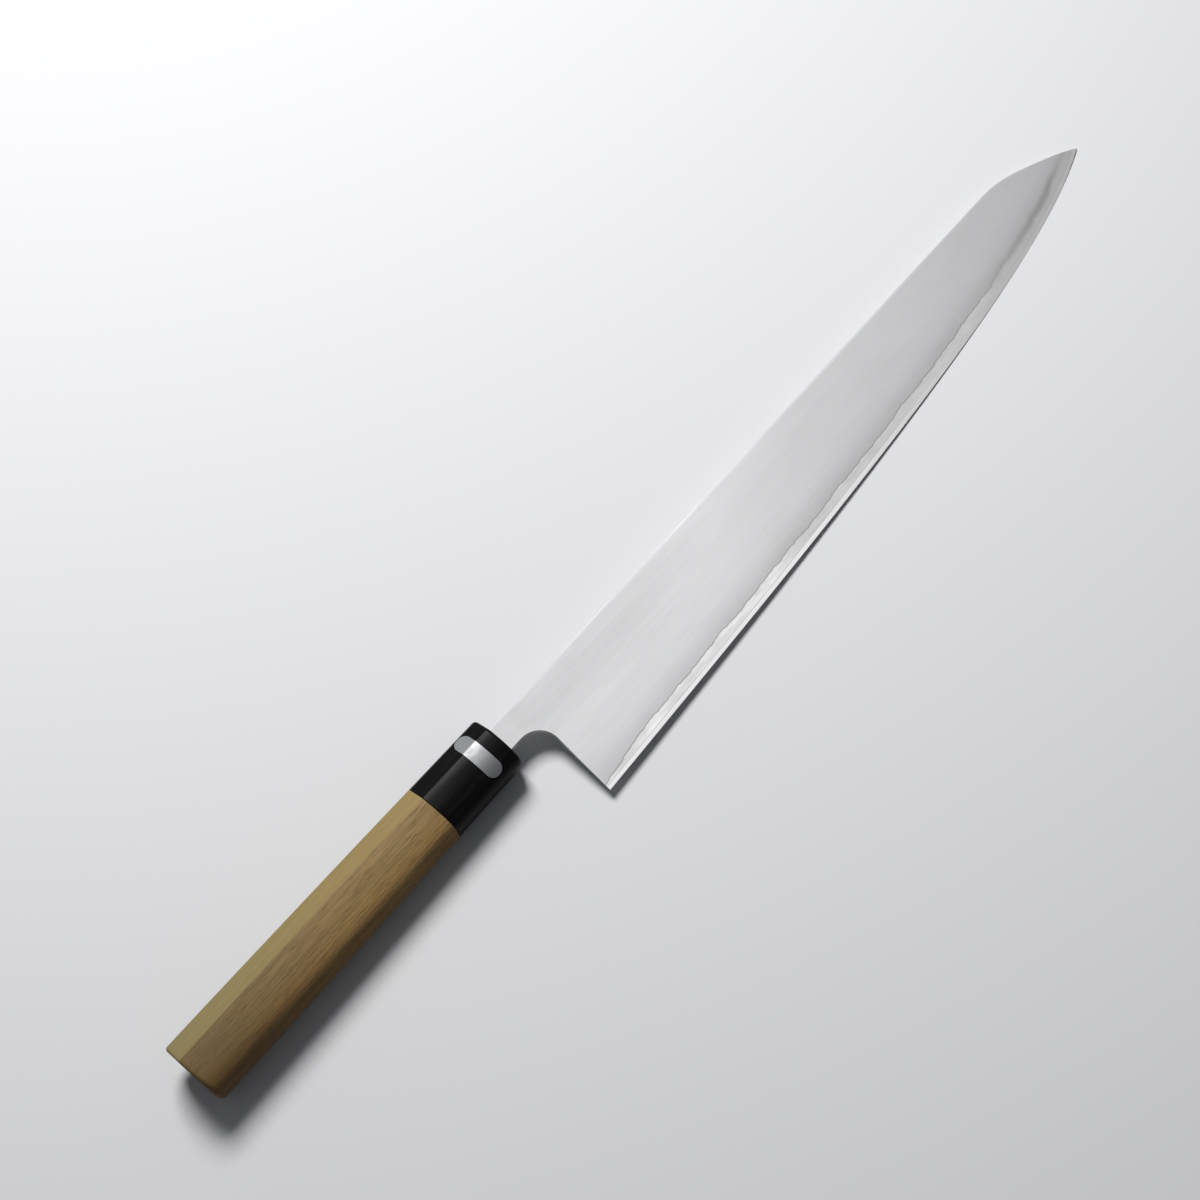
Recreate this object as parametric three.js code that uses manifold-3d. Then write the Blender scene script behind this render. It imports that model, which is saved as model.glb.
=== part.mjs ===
// A sujihiki slicing knife: a three-layer forged blade in a D-shaped wooden handle with a horn ferrule.
// Millimetres and degrees, +Z up. The knife is built along its own axes: X from the butt to the tip, Y to the
// spine, Z to the right face, with x = 0 at the front of the ferrule and y = z = 0 on the handle's middle line.
// It is then laid on its left side, where the ferrule and the belly of the edge touch the surface z = 0.
import * as THREE from "three";
import { mergeVertices } from "three/addons/utils/BufferGeometryUtils.js";
import Module from "manifold-3d";

const wasm = await Module();
wasm.setup();

// Blade outline
const BLADE_LENGTH = 300; // heel corner to tip, along X
const HEEL_HEIGHT = 44.5; // spine to heel corner, along Y
const HEEL_SETBACK = 12.5; // ferrule front to heel corner
const SPINE_ABOVE_AXIS = 5.25; // spine to the handle's middle line
const TIP_BELOW_SPINE = 13.95;
const EDGE_RISE = 2.38; // degrees, slope of the edge at the heel
const TIP_SWEEP = 7.4; // share of the edge's lift that comes near the tip
const BELLY_POWER = 3.1; // how late the long belly of the edge lifts
const SWEEP_POWER = 11; // how late the tip sweep lifts
const CLIP_LENGTH = 31.4; // from the soft corner of the spine to the tip
const CLIP_SLOPE = 21; // degrees, where the clip leaves the spine
const CLIP_EASE = 8.2; // half the length of the soft corner
const CLIP_POWER = 3; // how late the clip bends down to the tip
const CHOIL_LEAN = 4.5; // degrees that the choil leans forward from the heel corner up
const CHOIL_RADIUS = 8.5; // round between the choil and the neck
const NECK_HEIGHT = 10.2;

// Blade thickness and layers
const SPINE_THICKNESS = 3.6; // at the heel
const CLIP_THICKNESS = 1.4; // of the spine where the clip starts
const CORE_THICKNESS = 1; // of the core steel at the heel
const CORE_TIP_THICKNESS = 0.5;
const CORE_SHOW = 4.8; // height of the bare core steel above the edge, at the heel
const CORE_TIP_SHOW = 4.7; // the same near the tip
const WELD_WAVE = 0.18; // how far the weld line wanders in long waves
const WELD_WAVELENGTH = 37;
const WELD_RIPPLE = 0.12; // how far it wanders in shorter waves
const WELD_RIPPLE_LENGTH = 22;
const WELD_DIP = 2.8; // how far it drops at the heel corner
const WELD_DIP_LENGTH = 12; // over which most of the drop fades
const EDGE_THICKNESS = 0.12;
const BEVEL_HEIGHT = 1.5; // of the sharpened bevel
const BEVEL_THICKNESS = 0.5; // at the top of the sharpened bevel
const SHOULDER_SHARE = 0.25; // from weld to spine, where the face turns flat above the ground edge zone
const SHOULDER_SWELL = 0.1; // how far the face stands out there

// Tang
const TANG_LENGTH = 104; // from the ferrule front to its end
const TANG_END_HEIGHT = 6.6;
const TANG_END_THICKNESS = 2.6;

// Handle: an oval with one flat planed along the spine side, which leaves a ridge
const HANDLE_LENGTH = 148.4; // ferrule front to the crown of the butt
const FERRULE_LENGTH = 32.4;
const FRONT_WIDTH = 22.4;
const FRONT_THICKNESS = 17.8;
const BUTT_WIDTH = 25;
const BUTT_THICKNESS = 20.8;
const SWELL_POWER = 1.5; // how early the handle reaches its full width
const OVAL_POWER = 2.4; // of the oval section, 2 being an ellipse
const RIDGE_OFFSET = 4.4; // ridge to middle line, towards the spine
const FLAT_SLOPE = 33; // degrees, of the planed flat
const FERRULE_ROUND = 1.2; // of the ferrule's front rim
const BUTT_ROUND = 1.1;
const BUTT_CROWN = 0.5; // how far the middle of the butt stands out

// Joint between wood, horn and tang
const TENON_DIAMETER = 14.2;
const TENON_ROOT = 6; // how far the tenon's core runs into the handle
const FERRULE_WALL = 8; // horn in front of the tenon
const FILM = 0.2; // clearance between pieces that are glued together
const BEDDING = 0.9; // of the bedding around the tang
const SEAL = 0.7; // of the seal around the neck
const SEAL_DEPTH = 5;
const SEAL_RECESS = 0.3; // below the ferrule's front face

// Foil label, bent over the ridge of the ferrule
const LABEL_LENGTH = 20.6;
const LABEL_WIDTH = 6.3;
const LABEL_SETBACK = 9.3; // ferrule front to the label's middle line
const LABEL_OVER_FLAT = 6.7; // the length that lies on the planed flat
const LABEL_THICKNESS = 0.12;

// Lie and mesh fineness
const LIE_ROLL = 7.2; // degrees that the knife leans on its edge side when it is laid down
const BLADE_STEPS = 56;
const TIP_STEPS = 4;
const CHOIL_STEPS = 7;
const OVAL_STEPS = 26;
const HANDLE_STEPS = 7;
const ROUND_STEPS = 3;
const CROWN_STEPS = 3;
const TENON_SIDES = 32;
const LABEL_END_STEPS = 5;
const CUT_PAST = 1; // how far a cutter runs past the face that it opens
const SAME_POINT = 1e-4; // points closer than this are one
const HALVINGS = 50; // steps of a search by halving

const radians = THREE.MathUtils.degToRad;
const lerp = THREE.MathUtils.lerp;

// Collects triangles over shared points, and leaves out those that have no area.
class Skin {
  constructor() {
    this.points = [];
    this.faces = [];
    this.known = new Map();
  }

  point(position) {
    const key = position.map((value) => Math.round(value / SAME_POINT)).join();
    if (!this.known.has(key)) {
      this.known.set(key, this.points.length / 3);
      this.points.push(...position);
    }
    return this.known.get(key);
  }

  triangle(a, b, c) {
    const corners = [a, b, c].map((position) => this.point(position));
    if (new Set(corners).size === 3) this.faces.push(...corners);
  }

  // Quads between rows of points. Flipped quads keep their diagonal, so two skins can share a surface.
  sheet(rows, flipped = false) {
    for (let i = 0; i + 1 < rows.length; i++) {
      for (let j = 0; j + 1 < rows[i].length; j++) {
        const [a, b, c, d] = [rows[i][j], rows[i + 1][j], rows[i + 1][j + 1], rows[i][j + 1]];
        if (flipped) {
          this.triangle(a, d, c);
          this.triangle(a, c, b);
        } else {
          this.triangle(a, b, c);
          this.triangle(a, c, d);
        }
      }
    }
  }

  geometry() {
    const made = new THREE.BufferGeometry();
    made.setAttribute("position", new THREE.Float32BufferAttribute(this.points, 3));
    made.setIndex(this.faces);
    made.computeVertexNormals();
    return made;
  }
}

// Booleans on closed geometries
function solidOf(geometry) {
  const bare = geometry.clone();
  bare.deleteAttribute("normal");
  bare.deleteAttribute("uv");
  const merged = mergeVertices(bare, SAME_POINT);
  return new wasm.Manifold(
    new wasm.Mesh({
      numProp: 3,
      vertProperties: new Float32Array(merged.attributes.position.array),
      triVerts: new Uint32Array(merged.index.array),
    }),
  );
}

function geometryOf(solid) {
  const mesh = solid.getMesh();
  const made = new THREE.BufferGeometry();
  made.setAttribute("position", new THREE.BufferAttribute(mesh.vertProperties, 3));
  made.setIndex(new THREE.BufferAttribute(mesh.triVerts, 1));
  made.computeVertexNormals();
  return made;
}

// Blade outline: t runs from 0 on the choil line to 1 at the tip
const heelX = HEEL_SETBACK;
const heelY = SPINE_ABOVE_AXIS - HEEL_HEIGHT;
const tipX = heelX + BLADE_LENGTH;
const lean = radians(CHOIL_LEAN);
const spineStartX = heelX + HEEL_HEIGHT * Math.tan(lean);
const clipX = tipX - CLIP_LENGTH;
const neckBottomY = SPINE_ABOVE_AXIS - NECK_HEIGHT;

// The edge climbs at a steady slope, then by a long belly, then by a short sweep near the tip.
function edgePoint(t) {
  const steady = BLADE_LENGTH * Math.tan(radians(EDGE_RISE));
  const belly = HEEL_HEIGHT - TIP_BELOW_SPINE - steady - TIP_SWEEP;
  const lift = steady * t + belly * t ** BELLY_POWER + TIP_SWEEP * t ** SWEEP_POWER;
  return [heelX + BLADE_LENGTH * t, heelY + lift];
}

// The spine is straight, turns down over the soft corner, runs on at that slope and bends a little more near
// the tip.
function spinePoint(t) {
  const x = lerp(spineStartX, tipX, t);
  const slope = Math.tan(radians(CLIP_SLOPE));
  const eased = THREE.MathUtils.clamp(x - clipX + CLIP_EASE, 0, 2 * CLIP_EASE);
  const beyond = Math.max(x - clipX - CLIP_EASE, 0);
  const cornerDrop = (slope * eased ** 2) / (4 * CLIP_EASE);
  const lastBend = TIP_BELOW_SPINE - slope * CLIP_LENGTH;
  const bendDrop = lastBend * (beyond / (CLIP_LENGTH - CLIP_EASE)) ** CLIP_POWER;
  return [x, SPINE_ABOVE_AXIS - cornerDrop - slope * beyond - bendDrop];
}

function columnHeight(t) {
  const [edge, spine] = [edgePoint(t), spinePoint(t)];
  return Math.hypot(spine[0] - edge[0], spine[1] - edge[1]);
}

// Height of the weld line above the edge: it dips at the heel, then stays nearly level and wanders in two
// waves.
function weldHeight(t) {
  const along = BLADE_LENGTH * t;
  const wave = WELD_WAVE * Math.sin((2 * Math.PI * along) / WELD_WAVELENGTH);
  const ripple = WELD_RIPPLE * Math.cos((2 * Math.PI * along) / WELD_RIPPLE_LENGTH);
  const dip = WELD_DIP * Math.exp(-along / WELD_DIP_LENGTH);
  return lerp(CORE_SHOW, CORE_TIP_SHOW, t) - wave + ripple - dip;
}

// The weld line meets the clip where the blade is only as high as the bare core.
function weldEnd() {
  let [low, high] = [0, 1];
  for (let i = 0; i < HALVINGS; i++) {
    const middle = (low + high) / 2;
    if (columnHeight(middle) > weldHeight(middle)) low = middle;
    else high = middle;
  }
  return low;
}

const endOfWeld = weldEnd();
const startOfClip = (clipX - spineStartX) / (tipX - spineStartX);
const coreHalf = (t) => lerp(CORE_THICKNESS, CORE_TIP_THICKNESS, t) / 2;

// Half thickness at the spine: an even taper to the clip, then down to the bare core where the weld ends.
function spineHalf(t) {
  if (t < startOfClip) return lerp(SPINE_THICKNESS, CLIP_THICKNESS, t / startOfClip) / 2;
  return lerp(CLIP_THICKNESS / 2, coreHalf(endOfWeld), (t - startOfClip) / (endOfWeld - startOfClip));
}

// Half thickness of the bare core at a height above the edge: the sharpened bevel, then the polished strip.
function bareHalf(height, t) {
  const weld = weldHeight(t);
  if (height < BEVEL_HEIGHT) return lerp(EDGE_THICKNESS, BEVEL_THICKNESS, height / BEVEL_HEIGHT) / 2;
  return lerp(BEVEL_THICKNESS / 2, coreHalf(t), (height - BEVEL_HEIGHT) / (weld - BEVEL_HEIGHT));
}

// Half thickness of the clad face at a share of the way from the weld line to the spine.
function cladHalf(share, t) {
  const [core, spine] = [coreHalf(t), spineHalf(t)];
  const swell = (SHOULDER_SWELL * (spine - core)) / (SPINE_THICKNESS / 2 - CORE_THICKNESS / 2);
  const shoulder = lerp(core, spine, SHOULDER_SHARE) + swell;
  if (share < SHOULDER_SHARE) return lerp(core, shoulder, share / SHOULDER_SHARE);
  return lerp(shoulder, spine, (share - SHOULDER_SHARE) / (1 - SHOULDER_SHARE));
}

// The round of the choil touches the neck's lower side and the leaning choil line.
const roundY = neckBottomY - CHOIL_RADIUS;
const roundX = heelX + ((roundY - heelY) * Math.sin(lean) - CHOIL_RADIUS) / Math.cos(lean);
const choilTopY = roundY - CHOIL_RADIUS * Math.sin(lean);
const choilShare = ((choilTopY - heelY) / Math.cos(lean) - weldHeight(0)) / (columnHeight(0) - weldHeight(0));

// A point of the blade at column t and a height above the edge, with the given z.
function bladePoint(t, height, z) {
  const [edge, spine] = [edgePoint(t), spinePoint(t)];
  const along = columnHeight(t) > 0 ? height / columnHeight(t) : 0;
  return [lerp(edge[0], spine[0], along), lerp(edge[1], spine[1], along), z];
}

const bladeColumns = [];
for (let i = 0; i <= BLADE_STEPS; i++) bladeColumns.push((endOfWeld * i) / BLADE_STEPS);
const tipColumns = [];
for (let i = 1; i <= TIP_STEPS; i++) tipColumns.push(lerp(endOfWeld, 1, i / TIP_STEPS));

// Points of one blade column, from the weld line to the spine, on the face of the core or of the cladding.
function weldedColumn(t, shares, half) {
  const weld = weldHeight(t);
  const top = Math.max(columnHeight(t), weld);
  return shares.map((share) => bladePoint(t, lerp(weld, top, share), half(share)));
}

function coreColumn(t, side) {
  const top = columnHeight(t);
  const bare = [0, BEVEL_HEIGHT].map((height) => Math.min(height, top));
  const lower = bare.map((height) => bladePoint(t, height, side * bareHalf(height, t)));
  if (t > endOfWeld) {
    const upper = bladePoint(t, top, side * bareHalf(top, t));
    return [...lower, upper, upper, upper];
  }
  return [...lower, ...weldedColumn(t, [0, choilShare, 1], () => side * coreHalf(t))];
}

// Neck and tang: stations from the choil line back to the end of the tang, as lower and upper outline points.
function tangLimits(x) {
  const middle = SPINE_ABOVE_AXIS - NECK_HEIGHT / 2;
  const back = -x / TANG_LENGTH;
  const half = lerp(NECK_HEIGHT, TANG_END_HEIGHT, back) / 2;
  return { low: middle - half, high: middle + half, half: lerp(SPINE_THICKNESS, TANG_END_THICKNESS, back) / 2 };
}

const neckStations = [];
for (let i = 0; i <= CHOIL_STEPS; i++) {
  const share = i / CHOIL_STEPS;
  const angle = lerp(-lean, Math.PI / 2, share);
  neckStations.push({
    low: [roundX + CHOIL_RADIUS * Math.cos(angle), roundY + CHOIL_RADIUS * Math.sin(angle)],
    high: [lerp(spineStartX, roundX, share), SPINE_ABOVE_AXIS],
    lowHalf: lerp(cladHalf(choilShare, 0), SPINE_THICKNESS / 2, share),
    highHalf: SPINE_THICKNESS / 2,
  });
}
for (const x of [0, -TANG_LENGTH]) {
  const { low, high, half } = tangLimits(x);
  neckStations.push({ low: [x, low], high: [x, high], lowHalf: half, highHalf: half });
}

const clampToCore = (station, side) => [
  [...station.low, side * coreHalf(0)],
  [...station.high, side * coreHalf(0)],
];

const pick = (rows, index) => rows.map((row) => row.at(index));
const pairs = (first, second) => first.map((point, i) => [point, second[i]]);

function coreSteel() {
  const skin = new Skin();
  const columns = [...bladeColumns, ...tipColumns];
  const right = columns.map((t) => coreColumn(t, 1));
  const left = columns.map((t) => coreColumn(t, -1));
  skin.sheet(right);
  skin.sheet(left, true);
  skin.sheet(pairs(pick(right, -1), pick(left, -1)));
  skin.sheet(pairs(pick(left, 0), pick(right, 0)));
  skin.sheet(pairs(right[0].slice(0, -1), left[0].slice(0, -1)));
  const neckRight = neckStations.map((station) => clampToCore(station, 1));
  const neckLeft = neckStations.map((station) => clampToCore(station, -1));
  skin.sheet(neckRight, true);
  skin.sheet(neckLeft);
  skin.sheet(pairs(pick(neckRight, 1), pick(neckLeft, 1)), true);
  skin.sheet(pairs(pick(neckRight, 0), pick(neckLeft, 0)));
  skin.sheet(pairs(neckRight.at(-1), neckLeft.at(-1)));
  return skin.geometry();
}

// One cladding: side is 1 for the right face and -1 for the left.
function cladding(side) {
  const skin = new Skin();
  const turned = side < 0;
  const outerShares = [0, SHOULDER_SHARE, choilShare, 1];
  const outer = bladeColumns.map((t) => weldedColumn(t, outerShares, (share) => side * cladHalf(share, t)));
  const inner = bladeColumns.map((t) => weldedColumn(t, [0, choilShare, 1], () => side * coreHalf(t)));
  skin.sheet(outer, turned);
  skin.sheet(inner, !turned);
  skin.sheet(pairs(pick(outer, -1), pick(inner, -1)), turned);
  const [weld, shoulder, choilTop] = outer[0];
  const choilTopInner = inner[0][1];
  skin.sheet([[weld, weld], [shoulder, choilTopInner], [choilTop, choilTopInner]], turned);
  const neckOuter = neckStations.map((station) => [
    [...station.low, side * station.lowHalf],
    [...station.high, side * station.highHalf],
  ]);
  const neckInner = neckStations.map((station) => clampToCore(station, side));
  skin.sheet(neckOuter, !turned);
  skin.sheet(neckInner, turned);
  skin.sheet(pairs(pick(neckOuter, 1), pick(neckInner, 1)), !turned);
  skin.sheet(pairs(pick(neckOuter, 0), pick(neckInner, 0)), turned);
  skin.sheet(pairs(neckOuter.at(-1), neckInner.at(-1)), turned);
  return skin.geometry();
}

// Handle section: an oval of the given half sizes. It starts at the ridge, crosses the planed flat to its far
// corner, and goes on round the spine side, the left face and the edge side.
function handleRing(halfWidth, halfThickness) {
  const onOval = (angle) => {
    const [c, s] = [Math.cos(angle), Math.sin(angle)];
    return [
      halfWidth * Math.sign(c) * Math.abs(c) ** (2 / OVAL_POWER),
      halfThickness * Math.sign(s) * Math.abs(s) ** (2 / OVAL_POWER),
    ];
  };
  const ridgeAngle = Math.acos((RIDGE_OFFSET / halfWidth) ** (OVAL_POWER / 2));
  const ridge = onOval(ridgeAngle);
  const aboveFlat = (angle) => {
    const [y, z] = onOval(angle);
    return z - ridge[1] + (y - ridge[0]) * Math.tan(radians(FLAT_SLOPE));
  };
  let [inside, outside] = [0, ridgeAngle / 2];
  for (let i = 0; i < HALVINGS; i++) {
    const middle = (inside + outside) / 2;
    if (aboveFlat(middle) < 0) inside = middle;
    else outside = middle;
  }
  const ring = [ridge];
  for (let i = 0; i < OVAL_STEPS; i++) {
    ring.push(onOval(inside - (i * (2 * Math.PI + inside - ridgeAngle)) / OVAL_STEPS));
  }
  return ring;
}

// Half width and half thickness of the handle at x: it swells from the ferrule front to the butt.
function handleHalves(x) {
  const narrowing = (1 + x / HANDLE_LENGTH) ** SWELL_POWER;
  return [lerp(BUTT_WIDTH, FRONT_WIDTH, narrowing) / 2, lerp(BUTT_THICKNESS, FRONT_THICKNESS, narrowing) / 2];
}

// The ring at x, drawn in by an inset where a rim is rounded.
function ringAt(x, inset = 0) {
  const [halfWidth, halfThickness] = handleHalves(x);
  const shrink = 1 - inset / halfWidth;
  return handleRing(halfWidth, halfThickness).map(([y, z]) => [x, y * shrink, z * shrink]);
}

// Rings of a rounded rim, seen from inside the piece outwards. faceAt gives the x of the end face at an inset,
// and way is 1 towards +X.
function rimRings(faceAt, radius, way) {
  const rings = [];
  for (let i = 1; i <= ROUND_STEPS; i++) {
    const angle = (Math.PI / 2) * (i / ROUND_STEPS);
    const inset = radius * (1 - Math.cos(angle));
    rings.push(ringAt(faceAt(inset) - way * radius * (1 - Math.sin(angle)), inset));
  }
  return rings;
}

// The end face of the butt is a low dome, a parabola from its rim to its crown.
const buttFace = (inset) => BUTT_CROWN * (1 - (2 * inset) / BUTT_WIDTH) ** 2 - HANDLE_LENGTH;

function crownRings() {
  const rings = [];
  for (let i = 1; i <= CROWN_STEPS; i++) {
    const inset = lerp(BUTT_ROUND, BUTT_WIDTH / 2, i / CROWN_STEPS);
    rings.push(ringAt(buttFace(inset), inset));
  }
  return rings;
}

// A closed skin through rings that follow each other along +X, with flat ends.
function loft(rings) {
  const skin = new Skin();
  const closed = rings.map((ring) => [...ring, ring[0]]);
  skin.sheet(closed);
  const cap = (ring, flipped) => {
    const centre = [ring[0][0], 0, 0];
    skin.sheet([ring, ring.map(() => centre)], flipped);
  };
  cap(closed.at(0), true);
  cap(closed.at(-1), false);
  return skin.geometry();
}

// A round bar along X.
function barAlongX(diameter, backX, frontX) {
  const bar = new THREE.CylinderGeometry(diameter / 2, diameter / 2, frontX - backX, TENON_SIDES);
  bar.rotateZ(-Math.PI / 2);
  bar.translate((frontX + backX) / 2, 0, 0);
  return bar;
}

// A block that follows the tapering tang from backX to frontX and stands out from it by grow all round.
function tangBlock(backX, frontX, grow) {
  const skin = new Skin();
  const ends = [backX, frontX].map((x) => {
    const { low, high, half } = tangLimits(x);
    const [bottom, top, side] = [low - grow, high + grow, half + grow];
    return [
      [x, bottom, -side],
      [x, bottom, side],
      [x, top, side],
      [x, top, -side],
    ];
  });
  const [back, front] = ends;
  skin.sheet([back, front].map((corners) => [...corners, corners[0]]));
  skin.sheet([[back[0], back[1]], [back[3], back[2]]], true);
  skin.sheet([[front[0], front[1]], [front[3], front[2]]]);
  return skin.geometry();
}

const tenonFrontX = -FERRULE_WALL - FILM;
const beddingBackX = -TANG_LENGTH - FILM - BEDDING;

function handleBody() {
  const frontX = -FERRULE_LENGTH - FILM;
  const rings = [...rimRings(buttFace, BUTT_ROUND, -1), ...crownRings()].reverse();
  for (let i = 0; i <= HANDLE_STEPS; i++) {
    rings.push(ringAt(lerp(buttFace(0) + BUTT_ROUND, frontX, i / HANDLE_STEPS)));
  }
  const tenon = barAlongX(TENON_DIAMETER, frontX - TENON_ROOT, tenonFrontX);
  const slot = tangBlock(beddingBackX - FILM, tenonFrontX + CUT_PAST, BEDDING + 2 * FILM);
  return geometryOf(solidOf(loft(rings)).add(solidOf(tenon)).subtract(solidOf(slot)));
}

function hornFerrule() {
  const rings = [-FERRULE_LENGTH, -FERRULE_LENGTH / 2, -FERRULE_ROUND].map((x) => ringAt(x));
  rings.push(...rimRings(() => 0, FERRULE_ROUND, 1));
  const bore = barAlongX(TENON_DIAMETER + 2 * FILM, -FERRULE_LENGTH - CUT_PAST, -FERRULE_WALL);
  const mouth = tangBlock(-FERRULE_WALL - CUT_PAST, CUT_PAST, SEAL + 2 * FILM);
  return geometryOf(solidOf(loft(rings)).subtract(solidOf(bore)).subtract(solidOf(mouth)));
}

function tangBedding() {
  const outside = tangBlock(beddingBackX, tenonFrontX, BEDDING + FILM);
  const inside = tangBlock(-TANG_LENGTH - FILM, tenonFrontX + CUT_PAST, FILM);
  return geometryOf(solidOf(outside).subtract(solidOf(inside)));
}

function tangSeal() {
  const outside = tangBlock(-SEAL_DEPTH, -SEAL_RECESS, SEAL + FILM);
  const inside = tangBlock(-SEAL_DEPTH - CUT_PAST, CUT_PAST, FILM);
  return geometryOf(solidOf(outside).subtract(solidOf(inside)));
}

// The label is a strip with round ends. Distances round the ferrule are measured from the ridge, positive over
// the planed flat, along the ring's sides.
function foilLabel() {
  const middleX = -LABEL_SETBACK;
  const ringLift = (lift) => {
    const [halfWidth, halfThickness] = handleHalves(middleX);
    return handleRing(halfWidth + lift, halfThickness + lift);
  };
  const ring = ringLift(0);
  const sideLength = (i) => {
    const [a, b] = [ring.at(i), ring.at((i + 1) % ring.length)];
    return Math.hypot(b[0] - a[0], b[1] - a[1]);
  };
  // Ring corners that the label crosses: the ridge, then backwards round the edge side.
  const corners = [{ distance: sideLength(0), index: 1 }, { distance: 0, index: 0 }];
  while (corners.at(-1).distance > LABEL_OVER_FLAT - LABEL_LENGTH) {
    const index = corners.at(-1).index - 1;
    corners.push({ distance: corners.at(-1).distance - sideLength(index), index });
  }
  const place = (distance, lift) => {
    const after = Math.max(corners.findIndex((corner) => corner.distance <= distance), 1);
    const [from, to] = [corners[after - 1], corners[after]];
    const share = (from.distance - distance) / (from.distance - to.distance);
    const lifted = ringLift(lift);
    const [a, b] = [lifted.at(from.index), lifted.at(to.index)];
    return [lerp(a[0], b[0], share), lerp(a[1], b[1], share)];
  };
  const end = LABEL_WIDTH / 2;
  const distances = corners.map((corner) => corner.distance);
  for (let i = 0; i <= LABEL_END_STEPS; i++) {
    const inFromEnd = end * (1 - Math.cos(((Math.PI / 2) * i) / LABEL_END_STEPS));
    distances.push(LABEL_OVER_FLAT - inFromEnd, LABEL_OVER_FLAT - LABEL_LENGTH + inFromEnd);
  }
  const fromMiddle = (distance) => Math.abs(distance - LABEL_OVER_FLAT + LABEL_LENGTH / 2);
  const rows = distances
    .filter((distance) => fromMiddle(distance) <= LABEL_LENGTH / 2 + SAME_POINT)
    .sort((a, b) => a - b)
    .map((distance) => {
      const intoEnd = Math.max(fromMiddle(distance) - LABEL_LENGTH / 2 + end, 0);
      const halfWide = Math.sqrt(Math.max(end ** 2 - intoEnd ** 2, 0));
      const strip = (lift) => [
        [middleX - halfWide, ...place(distance, lift)],
        [middleX + halfWide, ...place(distance, lift)],
      ];
      return { under: strip(FILM), over: strip(FILM + LABEL_THICKNESS) };
    });
  const skin = new Skin();
  const [under, over] = [rows.map((row) => row.under), rows.map((row) => row.over)];
  skin.sheet(over, true);
  skin.sheet(under);
  skin.sheet(pairs(pick(over, 0), pick(under, 0)));
  skin.sheet(pairs(pick(over, 1), pick(under, 1)), true);
  for (const i of [0, rows.length - 1]) {
    skin.sheet([over[i], under[i]], i > 0);
  }
  return skin.geometry();
}

// Materials
const metal = (color, roughness) => new THREE.MeshStandardMaterial({ color, roughness, metalness: 1 });
const plain = (color, roughness) => new THREE.MeshStandardMaterial({ color, roughness, metalness: 0 });

const pieces = [
  ["core_steel", coreSteel(), metal(0xd6d7d9, 0.28)],
  ["cladding_right", cladding(1), metal(0xc6c7ca, 0.45)],
  ["cladding_left", cladding(-1), metal(0xc6c7ca, 0.45)],
  ["horn_ferrule", hornFerrule(), plain(0x121314, 0.3)],
  ["handle_body", handleBody(), plain(0xb79b6c, 0.65)],
  ["tang_seal", tangSeal(), plain(0x2a2622, 0.5)],
  ["tang_bedding", tangBedding(), plain(0x8a7a58, 0.7)],
  ["foil_label", foilLabel(), metal(0xc4c6c8, 0.35)],
];

const knife = new THREE.Group();
for (const [name, geometry, material] of pieces) {
  const mesh = new THREE.Mesh(geometry, material);
  mesh.name = name;
  knife.add(mesh);
}

// Laying the knife down: it is rolled towards the edge, then pitched until ferrule and blade touch one plane.
const rolled = new THREE.Group();
rolled.rotation.x = radians(LIE_ROLL);
rolled.add(knife);
const lying = new THREE.Group();
lying.add(rolled);

// The pitch is the slope of the side of the lower hull that spans the neck, seen along Y.
function pitchOf(group) {
  group.updateMatrixWorld(true);
  const profile = [];
  group.traverse((object) => {
    if (!object.isMesh) return;
    const positions = object.geometry.getAttribute("position");
    for (let i = 0; i < positions.count; i++) {
      const corner = new THREE.Vector3().fromBufferAttribute(positions, i);
      profile.push(corner.applyMatrix4(object.matrixWorld));
    }
  });
  profile.sort((a, b) => a.x - b.x || a.z - b.z);
  const hull = [];
  const turnsUp = (a, b, c) => (b.x - a.x) * (c.z - a.z) - (b.z - a.z) * (c.x - a.x) > 0;
  for (const corner of profile) {
    while (hull.length > 1 && !turnsUp(hull.at(-2), hull.at(-1), corner)) hull.pop();
    hull.push(corner);
  }
  const ahead = hull.findIndex((corner) => corner.x > HEEL_SETBACK);
  const [behind, front] = [hull[ahead - 1], hull[ahead]];
  return Math.atan2(front.z - behind.z, front.x - behind.x);
}

lying.rotation.y = pitchOf(rolled);

// The origin is the middle of the box, on the surface that the knife lies on.
const box = new THREE.Box3().setFromObject(lying, true);
lying.position.set(-(box.min.x + box.max.x) / 2, -(box.min.y + box.max.y) / 2, -box.min.z);

const part = new THREE.Group();
part.add(lying);

export default part;
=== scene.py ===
"""Looks of a sujihiki knife: a three-layer blade, a D-shaped wooden handle, a horn ferrule and a foil label.

Metres, +Z up. Shapes are worked out along the knife's own axes, with X from the butt to the tip, Y to the
spine and Z to the right face, x = 0 at the front of the ferrule and y = z = 0 on the handle's middle
line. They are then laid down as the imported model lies: on the left side, touching with the ferrule and
the belly of the edge.
"""
import logging
import math
from dataclasses import dataclass, field
from enum import Enum

import bmesh
import bpy
import numpy as np
from mathutils import Matrix, Vector
from numpy.typing import NDArray


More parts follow.
